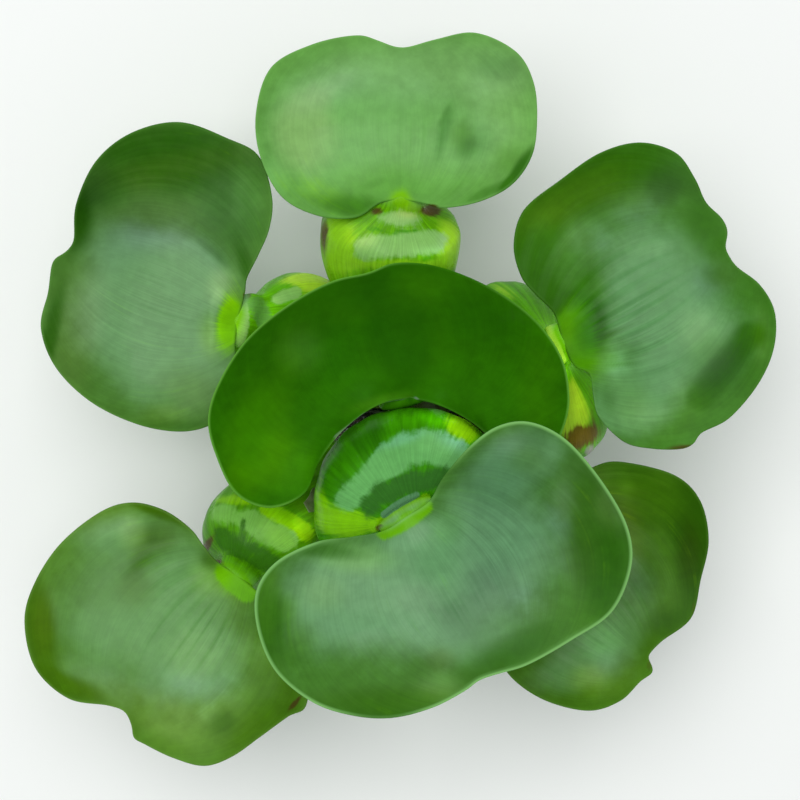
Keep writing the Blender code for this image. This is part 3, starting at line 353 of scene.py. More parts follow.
                      (-14, -5.5, 7, 3, 35, (0.7, 0.75, 1.3)), (5, 1, 5, 2.6, 0, (1.9, 2.0, 0.7)),
                      (-4, -4.4, 6, 1.6, 20, (1.3, 1.2, 2.0))],
        "floatSilver": [([(-9, -23.6), (-5, -20.8), (-1, -18.6)], 1.0, 1.0)],
    },
}

leaves = {name: {**usual, **leaf} for name, leaf in leaves.items()}

# Where the inner stalks stand on the crown.
topFeet = {"inner_north": (-1.0, 4.4), "inner_south": (-1.2, -4.2)}

roomMake = {"floor": (240, 241, 240), "floorSize": 12.0, "world": 0.56, "lamp": 21.0, "lampSize": 1.2,
            "lampPlace": (-0.20, 0.28, 1.75), "lampTint": (1.0, 1.0, 0.98),
            "worldTint": (0.95, 0.98, 1.0, 1.0), "lens": 90.9, "light": 1.06}


def unit(vector):
    return vector / np.linalg.norm(vector, axis=-1, keepdims=True)


# True place of a seen point: its offset from the point of sight shrinks as it rises above the datum.
def truePlace(seen, height):
    nearer = (sight["height"] - height) / (sight["height"] - sight["datum"])
    return np.stack([sight["x"] + (seen[..., 0] - sight["x"]) * nearer,
                     sight["y"] + (seen[..., 1] - sight["y"]) * nearer,
                     height * np.ones_like(nearer)], axis=-1)


# The way back: where a true place is seen on the datum plane.
def seenPlace(points):
    nearer = (sight["height"] - points[..., 2]) / (sight["height"] - sight["datum"])
    return np.stack([sight["x"] + (points[..., 0] - sight["x"]) / nearer,
                     sight["y"] + (points[..., 1] - sight["y"]) / nearer], axis=-1)


# Catmull-Rom curve through points, read at equal steps of its length, ends included.
def smoothCurve(points, steps):
    points = np.asarray(points, float)
    padded = np.vstack([2 * points[0] - points[1], points, 2 * points[-1] - points[-2]])
    share = np.linspace(0, 1, 24, endpoint=False)[:, None]
    a, b, c, d = (padded[k:len(padded) - 3 + k, None, :] for k in range(4))
    dense = 0.5 * (2 * b + (c - a) * share + (2 * a - 5 * b + 4 * c - d) * share ** 2
                   + (3 * b - a - 3 * c + d) * share ** 3)
    return evenSteps(np.vstack([dense.reshape(-1, points.shape[1]), points[-1:]]), steps)[0]


# A polyline and any columns that go with it, read at equal steps of its length.
def evenSteps(line, steps, extra=None):
    length = np.concatenate([[0], np.cumsum(np.linalg.norm(np.diff(line, axis=0), axis=1))])
    wanted = np.linspace(0, length[-1], steps + 1)
    both = line if extra is None else np.hstack([line, extra])
    read = np.stack([np.interp(wanted, length, column) for column in both.T], axis=-1)
    return read[:, :line.shape[1]], read[:, line.shape[1]:]


# Quads of a grid of rows and columns whose columns close on themselves.
def ringFaces(rows, columns):
    here = np.arange(rows - 1)[:, None] * columns + np.arange(columns)
    after = np.arange(rows - 1)[:, None] * columns + (np.arange(columns) + 1) % columns
    return np.stack([here, after, after + columns, here + columns], axis=-1).reshape(-1, 4)


# The same quads, with the first and the last row closed by a flat face each.
def cappedFaces(rows, columns):
    ends = [list(range(columns))[::-1], list(range((rows - 1) * columns, rows * columns))]
    return ringFaces(rows, columns).tolist() + ends


# Fills a mesh, joins points that coincide, turns its faces outwards and stores its attributes.
def makePiece(name, points, faces, finish, values=None, vectors=None, join=0.002):
    mesh = bpy.data.meshes.new(name)
    mesh.from_pydata(np.asarray(points) * 0.001, [], faces)
    for title, numbers in (values or {}).items():
        mesh.attributes.new(title, "FLOAT", "POINT").data.foreach_set("value", np.ravel(numbers).astype("f"))
    for title, numbers in (vectors or {}).items():
        made = mesh.attributes.new(title, "FLOAT_VECTOR", "POINT")
        made.data.foreach_set("vector", np.ravel(numbers).astype("f"))
    work = bmesh.new()
    work.from_mesh(mesh)
    if join:
        bmesh.ops.remove_doubles(work, verts=work.verts, dist=join * 0.001)
        bmesh.ops.dissolve_degenerate(work, edges=work.edges, dist=join * 0.0005)
    if work.calc_volume(signed=True) < 0:
        bmesh.ops.reverse_faces(work, faces=work.faces)
    work.to_mesh(mesh)
    work.free()
    mesh.shade_smooth()
    mesh.materials.append(finish)
    piece = bpy.data.objects.new(name, mesh)
    bpy.context.scene.collection.objects.link(piece)
    return piece


def dress(piece, slot, *nodes):
    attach(piece, "root")
    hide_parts(*nodes)


# Least distance from points to a line of points in plan, which closes on itself if told to.
def lineDistance(points, line, closed=False):
    start = np.asarray(line, float)
    step = np.roll(start, -1, axis=0) - start
    if not closed:
        start, step = start[:-1], step[:-1]
    offset = points[..., None, :] - start
    share = np.clip((offset * step).sum(axis=-1) / (step * step).sum(axis=-1), 0, 1)
    return np.linalg.norm(offset - share[..., None] * step, axis=-1).min(axis=-1)


# Sum of soft ovals and bands: amount * exp(-(distance in radii)^3) for an oval in its own turned
# axes, and amount * exp(-(distance over half width)^4) for a band along its line.
def patchMask(seen, patches):
    total = np.zeros(seen.shape[:-1])
    for patch in patches:
        if isinstance(patch[0], list):
            line, halfWidth, amount = patch
            total += amount * np.exp(-(lineDistance(seen, line) / halfWidth) ** 4)
        else:
            x, y, longer, shorter, turn, amount = patch
            c, s = math.cos(math.radians(turn)), math.sin(math.radians(turn))
            dx, dy = seen[..., 0] - x, seen[..., 1] - y
            away = ((dx * c + dy * s) / longer) ** 2 + ((dy * c - dx * s) / shorter) ** 2
            total += amount * np.exp(-away ** 1.5)
    return np.clip(total, 0, 1)


# Red, green and blue factors of a list of soft ovals, multiplied together: each goes from 1 outside
# its oval to its own factor in the middle. They paint light and shade as well as tone.
def lightShadeWashOf(seen, lightShadeWashes):
    total = np.ones((*seen.shape[:-1], 3))
    for *oval, factor in lightShadeWashes:
        total *= 1 + patchMask(seen, [(*oval, 1.0)])[..., None] * (np.array(factor) - 1)
    return total


def linear(colour):
    share = np.array(colour) / 255
    bright = np.where(share > 0.04045, ((share + 0.055) / 1.055) ** 2.4, share / 12.92)
    return (*bright.tolist(), 1.0)


# Colours are given as they look. The lamp adds some gloss and a little more than full light, so the
# pigment under it is a shade deeper.
def pigment(colour, gloss=0.010):
    seen = np.array(linear(colour)[:3])
    return (*np.clip((seen - gloss) / roomMake["light"], 0.0012, 1).tolist(), 1.0)


def newNode(tree, kind, **settings):
    made = tree.nodes.new(kind)
    for title, value in settings.items():
        setattr(made, title, value)
    return made


# A socket is linked, and a number or colour is set on the input itself.
def feed(tree, source, target):
    if isinstance(source, bpy.types.NodeSocket):
        tree.links.new(source, target)
    else:
        target.default_value = source


def calc(tree, operation, first, second=0.0):
    made = newNode(tree, "ShaderNodeMath", operation=operation)
    feed(tree, first, made.inputs[0])
    feed(tree, second, made.inputs[1])
    return made.outputs[0]


def mixColour(tree, amount, under, over, way="MIX"):
    made = newNode(tree, "ShaderNodeMix", data_type="RGBA", blend_type=way)
    feed(tree, amount, made.inputs[0])
    feed(tree, under, made.inputs[6])
    feed(tree, over, made.inputs[7])
    return made.outputs[2]


def timesColour(tree, colour, factor):
    return mixColour(tree, 1.0, colour, factor, "MULTIPLY")


def softStep(tree, value, low, high, bottom=0.0, top=1.0):
    made = newNode(tree, "ShaderNodeMapRange", interpolation_type="SMOOTHSTEP")
    for source, target in zip((value, low, high, bottom, top), made.inputs):
        feed(tree, source, target)
    return made.outputs[0]


# A factor that swings about one as the value goes from low to high.
def aboutOne(tree, value, low, high, swing):
    return softStep(tree, value, low, high, 1 - swing, 1 + swing)


def clouds(tree, place, scale, detail=3.0, rough=0.55):
    made = newNode(tree, "ShaderNodeTexNoise")
    feed(tree, place, made.inputs["Vector"])
    feed(tree, scale, made.inputs["Scale"])
    made.inputs["Detail"].default_value = detail
    made.inputs["Roughness"].default_value = rough
    return made.outputs["Fac"]


def attribute(tree, title, output="Fac"):
    return newNode(tree, "ShaderNodeAttribute", attribute_name=title).outputs[output]


def newGroup(name, inputs, outputs):
    tree = bpy.data.node_groups.new(name, "ShaderNodeTree")
    for title, kind, value in inputs:
        made = tree.interface.new_socket(name=title, in_out="INPUT", socket_type=kind)
        if value is not None:
            made.default_value = value
    for title in outputs:
        tree.interface.new_socket(name=title, in_out="OUTPUT", socket_type="NodeSocketFloat")
    return tree, newNode(tree, "NodeGroupInput"), newNode(tree, "NodeGroupOutput")


def useGroup(tree, group, **values):
    made = newNode(tree, "ShaderNodeGroup")
    made.node_tree = group
    for title, value in values.items():
        feed(tree, value, made.inputs[title])
    return made.outputs


# Streaks that run along the veins: noise that is dense across them and long along them.
def makeStreaks():
    inputs = [("Across", "NodeSocketVector", None), *((title, "NodeSocketFloat", value) for title, value in
                                                     (("Density", 20.0), ("Length", 0.05), ("Seed", 0.0)))]
    tree, given, result = newGroup("streaks", inputs, ["Broad", "Middle", "Fine"])
    parts = newNode(tree, "ShaderNodeSeparateXYZ")
    feed(tree, given.outputs["Across"], parts.inputs[0])
    for title, denser in (("Broad", 1.0), ("Middle", 2.1), ("Fine", 4.6)):
        place = newNode(tree, "ShaderNodeCombineXYZ")
        density = calc(tree, "MULTIPLY", given.outputs["Density"], denser)
        feed(tree, calc(tree, "MULTIPLY", parts.outputs[0], density), place.inputs[0])
        feed(tree, calc(tree, "MULTIPLY_ADD", parts.outputs[1], density), place.inputs[1])
        feed(tree, calc(tree, "MULTIPLY", parts.outputs[2], given.outputs["Length"]), place.inputs[2])
        shifted = newNode(tree, "ShaderNodeVectorMath", operation="ADD")
        feed(tree, place.outputs[0], shifted.inputs[0])
        seed = newNode(tree, "ShaderNodeCombineXYZ")
        for axis in range(3):
            feed(tree, given.outputs["Seed"], seed.inputs[axis])
        feed(tree, seed.outputs[0], shifted.inputs[1])
        feed(tree, clouds(tree, shifted.outputs[0], 1.0, 2.0, 0.6), result.inputs[title])
    return tree


# A mask whose border is broken by streaks and clouds, then made crisper by a soft step.
def makeRagged():
    start = {"Mask": 0.0, "Streak": 0.5, "Cloud": 0.5, "Streaky": 0.3, "Cloudy": 0.3, "Low": 0.2, "High": 0.8}
    inputs = [(title, "NodeSocketFloat", value) for title, value in start.items()]
    tree, given, result = newGroup("ragged", inputs, ["Mask"])
    total = given.outputs["Mask"]
    for title, amount in (("Streak", "Streaky"), ("Cloud", "Cloudy")):
        swing = calc(tree, "SUBTRACT", given.outputs[title], 0.5)
        total = calc(tree, "ADD", total, calc(tree, "MULTIPLY", swing, given.outputs[amount]))
    feed(tree, softStep(tree, total, given.outputs["Low"], given.outputs["High"]), result.inputs["Mask"])
    return tree


streaks, ragged = makeStreaks(), makeRagged()


def newFinish(name, **values):
    finish = bpy.data.materials.new(name)
    finish.use_nodes = True
    shader = finish.node_tree.nodes["Principled BSDF"]
    for title, value in values.items():
        shader.inputs[title].default_value = value
    return finish, finish.node_tree, shader


def objectPlace(tree):
    return newNode(tree, "ShaderNodeTexCoord").outputs["Object"]


def bumpFrom(tree, shader, height, strength, distance):
    bump = newNode(tree, "ShaderNodeBump")
    bump.inputs["Strength"].default_value = strength
    bump.inputs["Distance"].default_value = distance
    feed(tree, height, bump.inputs["Height"])
    feed(tree, bump.outputs[0], shader.inputs["Normal"])


bladeMake = {"thickness": 0.75, "neckThickness": 1.3, "neckSpread": 7.0, "rimRound": 0.5,
             "steps": 264, "rings": 34, "calm": 9.0, "rimSteps": [0.9, 0.66, 0.44, 0.26, 0.12, 0.03],
             "veins": 11.0, "veinLength": 0.05, "veinFine": 0.035, "veinBroad": 0.015, "foldShade": 6.0,
             "mottle": 0.06, "shine": 0.007, "sheenShine": 0.018, "sheenCoat": 0.12, "coat": 0.01,
             "specular": 0.04, "highlightShare": 0.8, "rough": (0.32, 0.46), "bump": (0.08, 0.0003),
             "brownTone": (74, 72, 34), "underTones": ((78, 132, 44), (98, 150, 60)),
             "borders": {"paintedSheen": (0.1, 0.8, 0.0, 1.0), "paintedHighlight": (0.2, 0.7, 0.1, 0.95),
                         "shade": (0.3, 0.6, 0.1, 0.95), "gold": (0.7, 0.9, 0.1, 0.85),
                         "brown": (0.8, 0.8, 0.25, 0.85)}}


def bladeAxes(leaf):
    neck = np.array(leaf["neck"])
    along = unit(np.array(leaf["notch"]) - neck)
    return neck, along, np.array([along[1], -along[0]])


# Fan angle and distance: circles through the neck and the notch stand for the veins, and each has
# the angle at which it leaves the neck, from 0 on the midline to half a turn at the back.
def veinFan(leaf, seen):
    neck, along = bladeAxes(leaf)[:2]
    first = seen - (neck - 4.0 * along)
    second = seen - (np.array(leaf["notch"]) + 3.0 * along)
    turn = np.arctan2(first[..., 0] * second[..., 1] - first[..., 1] * second[..., 0],
                      (first * second).sum(axis=-1))
    return np.sign(turn) * (math.pi - np.abs(turn)), np.linalg.norm(seen - neck, axis=-1)


# Low folds that fan out from the neck and die out over the blade, from -1 to 1.
def bladeFolds(fan, away):
    wave = np.sin(21 * fan + 2.0 * np.sin(3 * fan)) * 0.7 + 0.3 * np.sin(37 * fan + 1.0)
    return wave * np.exp(-((away - 15) / 14) ** 2) * np.clip(away / 8, 0, 1)


# Height of the middle of a blade: a plane, a cup towards the margin, a ripple on the margin, all
# fading to nothing at the neck, with low folds that fan out from the neck.
def bladeHeight(leaf, seen, reach, turn):
    neck, along, across = bladeAxes(leaf)
    offset = seen - neck
    forward, sideways = offset @ along, offset @ across
    free = 1 - np.exp(-((forward / 9) ** 2 + (sideways / 9) ** 2))
    ripple = leaf["wave"] * np.sin(2 * math.pi * leaf["waves"] * turn) * reach ** 3
    fan, away = veinFan(leaf, seen)
    uneven = 0.22 * np.sin(seen[..., 0] / 6.1 + 1.0) * np.sin(seen[..., 1] / 7.3 + leaf["height"])
    return (leaf["height"] + leaf["rise"] * forward + leaf["roll"] * sideways
            + (leaf["cup"] * reach ** 2 + ripple + leaf["fold"] * 2 * bladeFolds(fan, away) + uneven) * free)


def bladeThickness(away):
    extra = bladeMake["neckThickness"] - bladeMake["thickness"]
    return bladeMake["thickness"] + extra * np.exp(-(away / bladeMake["neckSpread"]) ** 2)


# A closed line smoothed by a bell curve of that many steps.
def loopSoftened(line, width):
    far = np.arange(len(line))
    far = np.minimum(far, len(line) - far)
    kernel = np.exp(-0.5 * (far / width) ** 2)
    kernel /= kernel.sum()
    return np.real(np.fft.ifft(np.fft.fft(line, axis=0) * np.fft.fft(kernel)[:, None], axis=0))


# The outline with its notch rounded over a few millimetres, and unchanged elsewhere.
def roundNotch(margin, notchStep, width):
    step = np.linalg.norm(np.diff(margin, axis=0), axis=1).mean()
    near = np.exp(-(((np.arange(len(margin)) - notchStep) * step / (3.0 * width)) ** 2))[:, None]
    return margin + (loopSoftened(margin, width / step) - margin) * near


# A blade: rings that run from a spine line, halfway into each lobe, out to the margin. The upper
# skin and the lower skin share the margin, and a round rim joins them.
def makeBlade(name, leaf, finish):
    half, make = bladeMake["steps"] // 2, bladeMake
    right = smoothCurve([leaf["neck"], *leaf["right"], leaf["notch"]], half)
    left = smoothCurve([leaf["neck"], *leaf["left"], leaf["notch"]], half)
    margin = roundNotch(np.vstack([right[:-1], left[::-1][:-1]]), half, leaf["notchRound"])
    middle = (np.array(leaf["neck"]) + np.array(leaf["notch"])) / 2
    swing = 0.5 * np.sin(math.pi * np.arange(half) / half)[:, None]
    spine = np.vstack([middle + (side[half // 2] - middle) * swing for side in (right, left)])
    turn = np.arange(2 * half) / (2 * half)

    width = np.linalg.norm(margin - spine, axis=1)
    inner = np.linspace(0, 1, make["rings"], endpoint=False)[:, None] * (1 - make["rimSteps"][0] / width)
    outer = 1 - np.array(make["rimSteps"])[:, None] / width
    reach = np.vstack([inner, outer, np.ones(2 * half)])
    ends = np.abs(np.arange(2 * half) - half) > half - 6          # the rings stay true near the neck
    calm = np.where(ends[:, None], margin, loopSoftened(margin, make["calm"]))
    calm = loopSoftened(calm, 3.0)
    outline = calm + (margin - calm) * (reach ** 3)[..., None]
    seen = spine + (outline - spine) * reach[..., None]
    edge = lineDistance(seen, margin, closed=True)
    edge[-1] = 0
    fan, away = veinFan(leaf, seen)
    middleHeight = bladeHeight(leaf, seen, reach, turn)
    closing = 1 - np.clip(edge / make["rimRound"], 0, 1)
    lift = 0.5 * bladeThickness(away) * np.sqrt(1 - closing ** 2)
    place = truePlace(seen, middleHeight)
    upper = place + lift[..., None] * [0, 0, 1]
    lower = place - lift[..., None] * [0, 0, 1]
    rows = np.concatenate([upper, lower[-2::-1]])

    def twice(values):
        return np.concatenate([values, values[-2::-1]])

    under = np.concatenate([np.zeros_like(reach), np.ones_like(reach[:-1])])
    gold = patchMask(seen, leaf["gold"]) + np.exp(-(away / leaf["goldReach"]) ** 2)
    notchAway = np.linalg.norm(seen - np.array(leaf["notch"]), axis=-1)
    show = np.clip(away / 6, 0, 1) * np.clip(notchAway / 22, 0, 1) ** 1.5
    # A light line painted along the margin as a highlight on the leaf's edge, faded where other parts lie
    # over it.
    rim = np.clip((leaf["rimWide"] - edge) / (0.6 * leaf["rimWide"]), 0, 1)
    rim = rim * (1 - patchMask(seen, leaf["rimFade"]))
    values = {title: twice(patchMask(seen, leaf[title])) for title in ("shade", "paintedSheen", "paintedHighlight", "brown")}
    values.update(rim=twice(rim), under=under, show=twice(show), gold=twice(np.clip(gold, 0, 1)),
                  fold=twice(patchMask(seen, leaf["folds"]) * np.clip(away / 7, 0, 1)))
    vectors = {"vein": np.stack([twice(fan), np.zeros_like(under), twice(away)], axis=-1),
               "lightShadeWash": twice(lightShadeWashOf(seen, leaf["lightShadeWash"]))}
    piece = makePiece("blade_" + name + "_leaf", rows.reshape(-1, 3), ringFaces(len(rows), 2 * half),
                      finish, values, vectors)
    dress(piece, "blade", "blade_" + name)


# Leaf skin: mottled green, a pale sage sheen that is a painted reflection of the sky, paler painted
# highlights, deep green painted shade, yellow green at the neck, fine veins, streaks of painted shade and
# light along the folds near the neck, a light line painted along the margin as a highlight and a paler
# underside. The painted sheen carries the gloss.
def bladeFinish(name, leaf, seed):
    make, gloss = bladeMake, leaf["gloss"]
    finish, tree, shader = newFinish("leafSkin_" + name, **{"IOR": 1.45, "Coat Roughness": 0.22,
                                                            "Specular IOR Level": make["specular"] * gloss})
    place = objectPlace(tree)
    streak = useGroup(tree, streaks, Across=attribute(tree, "vein", "Vector"), Density=make["veins"],
                      Length=make["veinLength"], Seed=seed)
    show = calc(tree, "MULTIPLY", attribute(tree, "show"), leaf["veinShow"])

    def calmed(title):
        swing = calc(tree, "MULTIPLY", calc(tree, "SUBTRACT", streak[title], 0.5), show)
        return calc(tree, "ADD", 0.5, swing)

    broad, middle, fine = calmed("Broad"), calmed("Middle"), calmed("Fine")
    cloud = clouds(tree, place, 75.0, 5.0, 0.62)
    mottle = clouds(tree, place, 330.0, 3.0)

    def patch(title):
        streaky, cloudy, low, high = make["borders"][title]
        return useGroup(tree, ragged, Mask=attribute(tree, title), Streak=middle, Cloud=cloud,
                        Streaky=streaky, Cloudy=cloudy, Low=low, High=high)["Mask"]

    def tint(colour, share=1.0, shine=make["shine"]):
        return pigment([c * share for c in colour], shine * gloss)

    # The pale sage sheen is a painted reflection of the sky; the coat gloss follows it.
    paintedSheen = patch("paintedSheen")
    colour = mixColour(tree, softStep(tree, cloud, 0.3, 0.7), tint(leaf["green"], 0.95),
                       tint(leaf["green"], 1.05))
    colour = mixColour(tree, paintedSheen, colour, tint(leaf["sheenGreen"], 1.0, make["sheenShine"]))
    # The paler spots and thin grey lines are painted highlights.
    paintedHighlight = calc(tree, "MULTIPLY", patch("paintedHighlight"), make["highlightShare"])
    colour = mixColour(tree, paintedHighlight, colour, tint(leaf["highlightGreen"], 1.0, make["sheenShine"]))
    # Deep green patches are painted shade.
    colour = mixColour(tree, patch("shade"), colour, tint(leaf["shadeGreen"]))
    colour = mixColour(tree, patch("gold"), colour, tint(leaf["goldGreen"]))
    # Veins and mottling darken and lighten the colour a little, and along the folds streaks of painted shade
    # and light do the same.
    tone = aboutOne(tree, fine, 0.35, 0.65, make["veinFine"])
    tone = calc(tree, "MULTIPLY", tone, aboutOne(tree, broad, 0.3, 0.7, make["veinBroad"]))
    fold = calc(tree, "MULTIPLY", attribute(tree, "fold"), leaf["fold"] * make["foldShade"])
    folded = calc(tree, "MULTIPLY", fold, calc(tree, "SUBTRACT", streak["Middle"], 0.5))
    tone = calc(tree, "MULTIPLY", tone, calc(tree, "ADD", 1.0, folded))
    tone = calc(tree, "MULTIPLY", tone, aboutOne(tree, mottle, 0.3, 0.7, make["mottle"]))
    colour = timesColour(tree, colour, tone)
    # The wash paints light and shade onto the colour, and changes its tone.
    colour = timesColour(tree, colour, attribute(tree, "lightShadeWash", "Vector"))
    # The light margin line is a painted highlight on the leaf's edge.
    rim = calc(tree, "MULTIPLY", attribute(tree, "rim"), leaf["rim"])
    colour = mixColour(tree, rim, colour, tint(leaf["rimHighlightGreen"]))
    colour = mixColour(tree, patch("brown"), colour, pigment(make["brownTone"]))
    below = mixColour(tree, cloud, *(pigment(tone) for tone in make["underTones"]))
    below = timesColour(tree, below, tone)
    colour = mixColour(tree, attribute(tree, "under"), colour, below)
    feed(tree, colour, shader.inputs["Base Color"])
    feed(tree, softStep(tree, cloud, 0.25, 0.75, *make["rough"]), shader.inputs["Roughness"])
    sheenCoatWeight = calc(tree, "MULTIPLY", paintedSheen, make["sheenCoat"] * gloss)
    feed(tree, calc(tree, "ADD", sheenCoatWeight, make["coat"] * gloss), shader.inputs["Coat Weight"])
    height = calc(tree, "ADD", calc(tree, "MULTIPLY", fine, 0.5), calc(tree, "MULTIPLY", middle, 0.6))
    bumpFrom(tree, shader, height, *make["bump"])
    return finish


floatMake = {"sides": 96, "stations": 130, "stalk": 3.6, "neckDepth": 2.2, "bellyShare": 0.62,
             "bellyEnd": 0.92, "belowBelly": (2.0, 1.1), "slim": (1.9, 0.95), "mild": (2.3, 0.8),
             "blunt": (2.9, 0.6), "inset": -0.8, "proud": 0.7, "sink": 1.5, "smooth": 1.6,
             "crownRadius": 8.5, "crownTop": 39.0, "footGap": 0.9, "ribs": 19, "ribDepth": 0.05,
             "shine": 0.009, "specular": 0.08, "coat": 0.03, "density": 9.0, "length": 0.07,
             "streakSwing": 0.08, "mottle": 0.05, "rough": (0.24, 0.36), "bump": (0.3, 0.0004),
             "footTone": (84, 112, 40), "brownTone": (84, 78, 32),
             "borders": {"gold": (1.0, 0.4, 0.15, 0.85), "mint": (0.6, 1.3, 0.2, 0.8),
                         "silver": (0.5, 0.8, 0.25, 0.75), "dark": (0.7, 1.6, 0.2, 0.9),
                         "brown": (1.0, 0.6, 0.2, 0.8)}}


def softened(values, spacing, width):
    reach = max(1, int(round(3 * width / spacing)))
    kernel = np.exp(-0.5 * (np.arange(-reach, reach + 1) * spacing / width) ** 2)
    kernel /= kernel.sum()
    padded = np.vstack([np.repeat(values[:1], reach, axis=0), values, np.repeat(values[-1:], reach, axis=0)])
    return np.stack([np.convolve(column, kernel, "valid") for column in padded.T], axis=-1)


# Centre line of a stalk: a bent curve from the crown through the belly to the neck, then on over
# the blade, where the stalk flattens and sinks into it. With it go half its width and half its depth.
def floatLine(name, leaf):
    make = floatMake
    neck, along, across = bladeAxes(leaf)
    if leaf["foot"] is None:
        start = np.array([*topFeet[name], make["crownTop"] + make["stalk"]])
    else:
        turn, level = math.radians(leaf["foot"][0]), leaf["foot"][1]
        reach = make["crownRadius"] + make["footGap"]
        start = np.array([reach * math.cos(turn), reach * math.sin(turn), level])
    belly = truePlace(np.array(leaf["belly"][:2]), leaf["belly"][2])

    over = np.linspace(0, 1, 60)
    ridge = neck + along * (make["inset"] + leaf["crest"] * over)[:, None]
    gap = np.linalg.norm(np.array(leaf["notch"]) - neck)
    reach = 1 - 2 * (make["inset"] + leaf["crest"] * over) / gap
    skin = bladeThickness(make["inset"] + leaf["crest"] * over) / 2
    top = bladeHeight(leaf, ridge, reach, np.zeros(60)) + skin
    ridgeDepth = make["neckDepth"] * (1 - 0.75 * over)
    ridgeWidth = leaf["neckWidth"] * (1 - 0.3 * over)
    ridgeLine = truePlace(ridge, top + make["proud"] - make["sink"] * over - ridgeDepth)

    m, end = make["bellyShare"], ridgeLine[0]
    bend = (belly - (1 - m) ** 2 * start - m ** 2 * end) / (2 * m * (1 - m))
    share = np.linspace(0, 1, 400)
    s = share[:, None]
    curve = (1 - s) ** 2 * start + 2 * s * (1 - s) * bend + s ** 2 * end
    below = share < m
    away = np.clip(np.where(below, (m - share) / m, (share - m) / (make["bellyEnd"] - m)), 0, 1)
    (a, b), (c, d) = make["belowBelly"], make[leaf["shoulder"]]
    swell = (1 - away ** np.where(below, a, c)) ** np.where(below, b, d)
    slim = np.where(below, make["stalk"], leaf["neckWidth"])
    thin = np.where(below, make["stalk"], make["neckDepth"])
    width = slim + (leaf["radius"] - slim) * swell
    depth = thin + (leaf["depth"] * leaf["radius"] - thin) * swell

    line = np.vstack([curve[:-1], ridgeLine])
    sizes = np.stack([np.concatenate([width[:-1], ridgeWidth]), np.concatenate([depth[:-1], ridgeDepth]),
                      np.concatenate([np.zeros(399), over])], axis=-1)
    line, sizes = evenSteps(line, make["stations"], sizes)
    spacing = np.linalg.norm(np.diff(line, axis=0), axis=1).mean()
    both = softened(np.hstack([line, sizes]), spacing, make["smooth"])
    return both[:, :3], both[:, 3], both[:, 4], both[:, 5], across, spacing


def makeFloat(name, leaf, finish):
    make = floatMake
    centre, width, depth, over, across, spacing = floatLine(name, leaf)
    course = unit(np.gradient(centre, axis=0))
    level = np.array([*across, 0.0])
    side = unit(level - (course @ level)[:, None] * course)
    rise = np.cross(side, course)
    angle = 2 * math.pi * np.arange(make["sides"]) / make["sides"]
    fat = np.clip((width - 6) / 10, 0, 1)[:, None]
    rib = 1 + fat * (make["ribDepth"] * np.cos(make["ribs"] * angle) / 10
                     + 0.010 * np.cos(3 * angle + leaf["height"]) + 0.006 * np.cos(5 * angle))
    ring = ((np.cos(angle) * width[:, None] * rib)[..., None] * side[:, None, :]
            + (np.sin(angle) * depth[:, None] * rib)[..., None] * rise[:, None, :])
    points = centre[:, None, :] + ring
    rows, columns = points.shape[:2]
    faces = cappedFaces(rows, columns)
    seen = seenPlace(points)
    shape = seen.shape[:2]
    neckAway = np.linalg.norm(seen - np.array(leaf["neck"]), axis=-1)
    neckGold = np.clip(patchMask(seen, leaf["gold"]) + np.exp(-(neckAway / leaf["goldReach"]) ** 2), 0, 1)
    # The painted reflections, highlights and shade, and the yellow green, lie on the upper side only.
    upper = np.clip(np.sin(angle) * 2.2 + 0.6, 0, 1) * np.ones(shape)
    along = np.linspace(0, 1, rows)[:, None] * np.ones(shape)
    values = {title: patchMask(seen, leaf["float" + title.capitalize()]) * upper
              for title in ("mint", "dark", "gold", "silver")}
    values.update(brown=patchMask(seen, leaf["floatBrown"]), along=along, neckGold=neckGold,
                  over=over[:, None] * np.ones(shape))
    vectors = {"skin": np.stack([np.cos(angle) * np.ones(shape), np.sin(angle) * np.ones(shape),
                                 along * rows * spacing], axis=-1), "lightShadeWash": lightShadeWashOf(seen, leaf["floatLightShadeWash"])}
    piece = makePiece("float_" + name + "_leaf", points.reshape(-1, 3), faces, finish, values, vectors, 0)
    dress(piece, "float", "float_" + name)


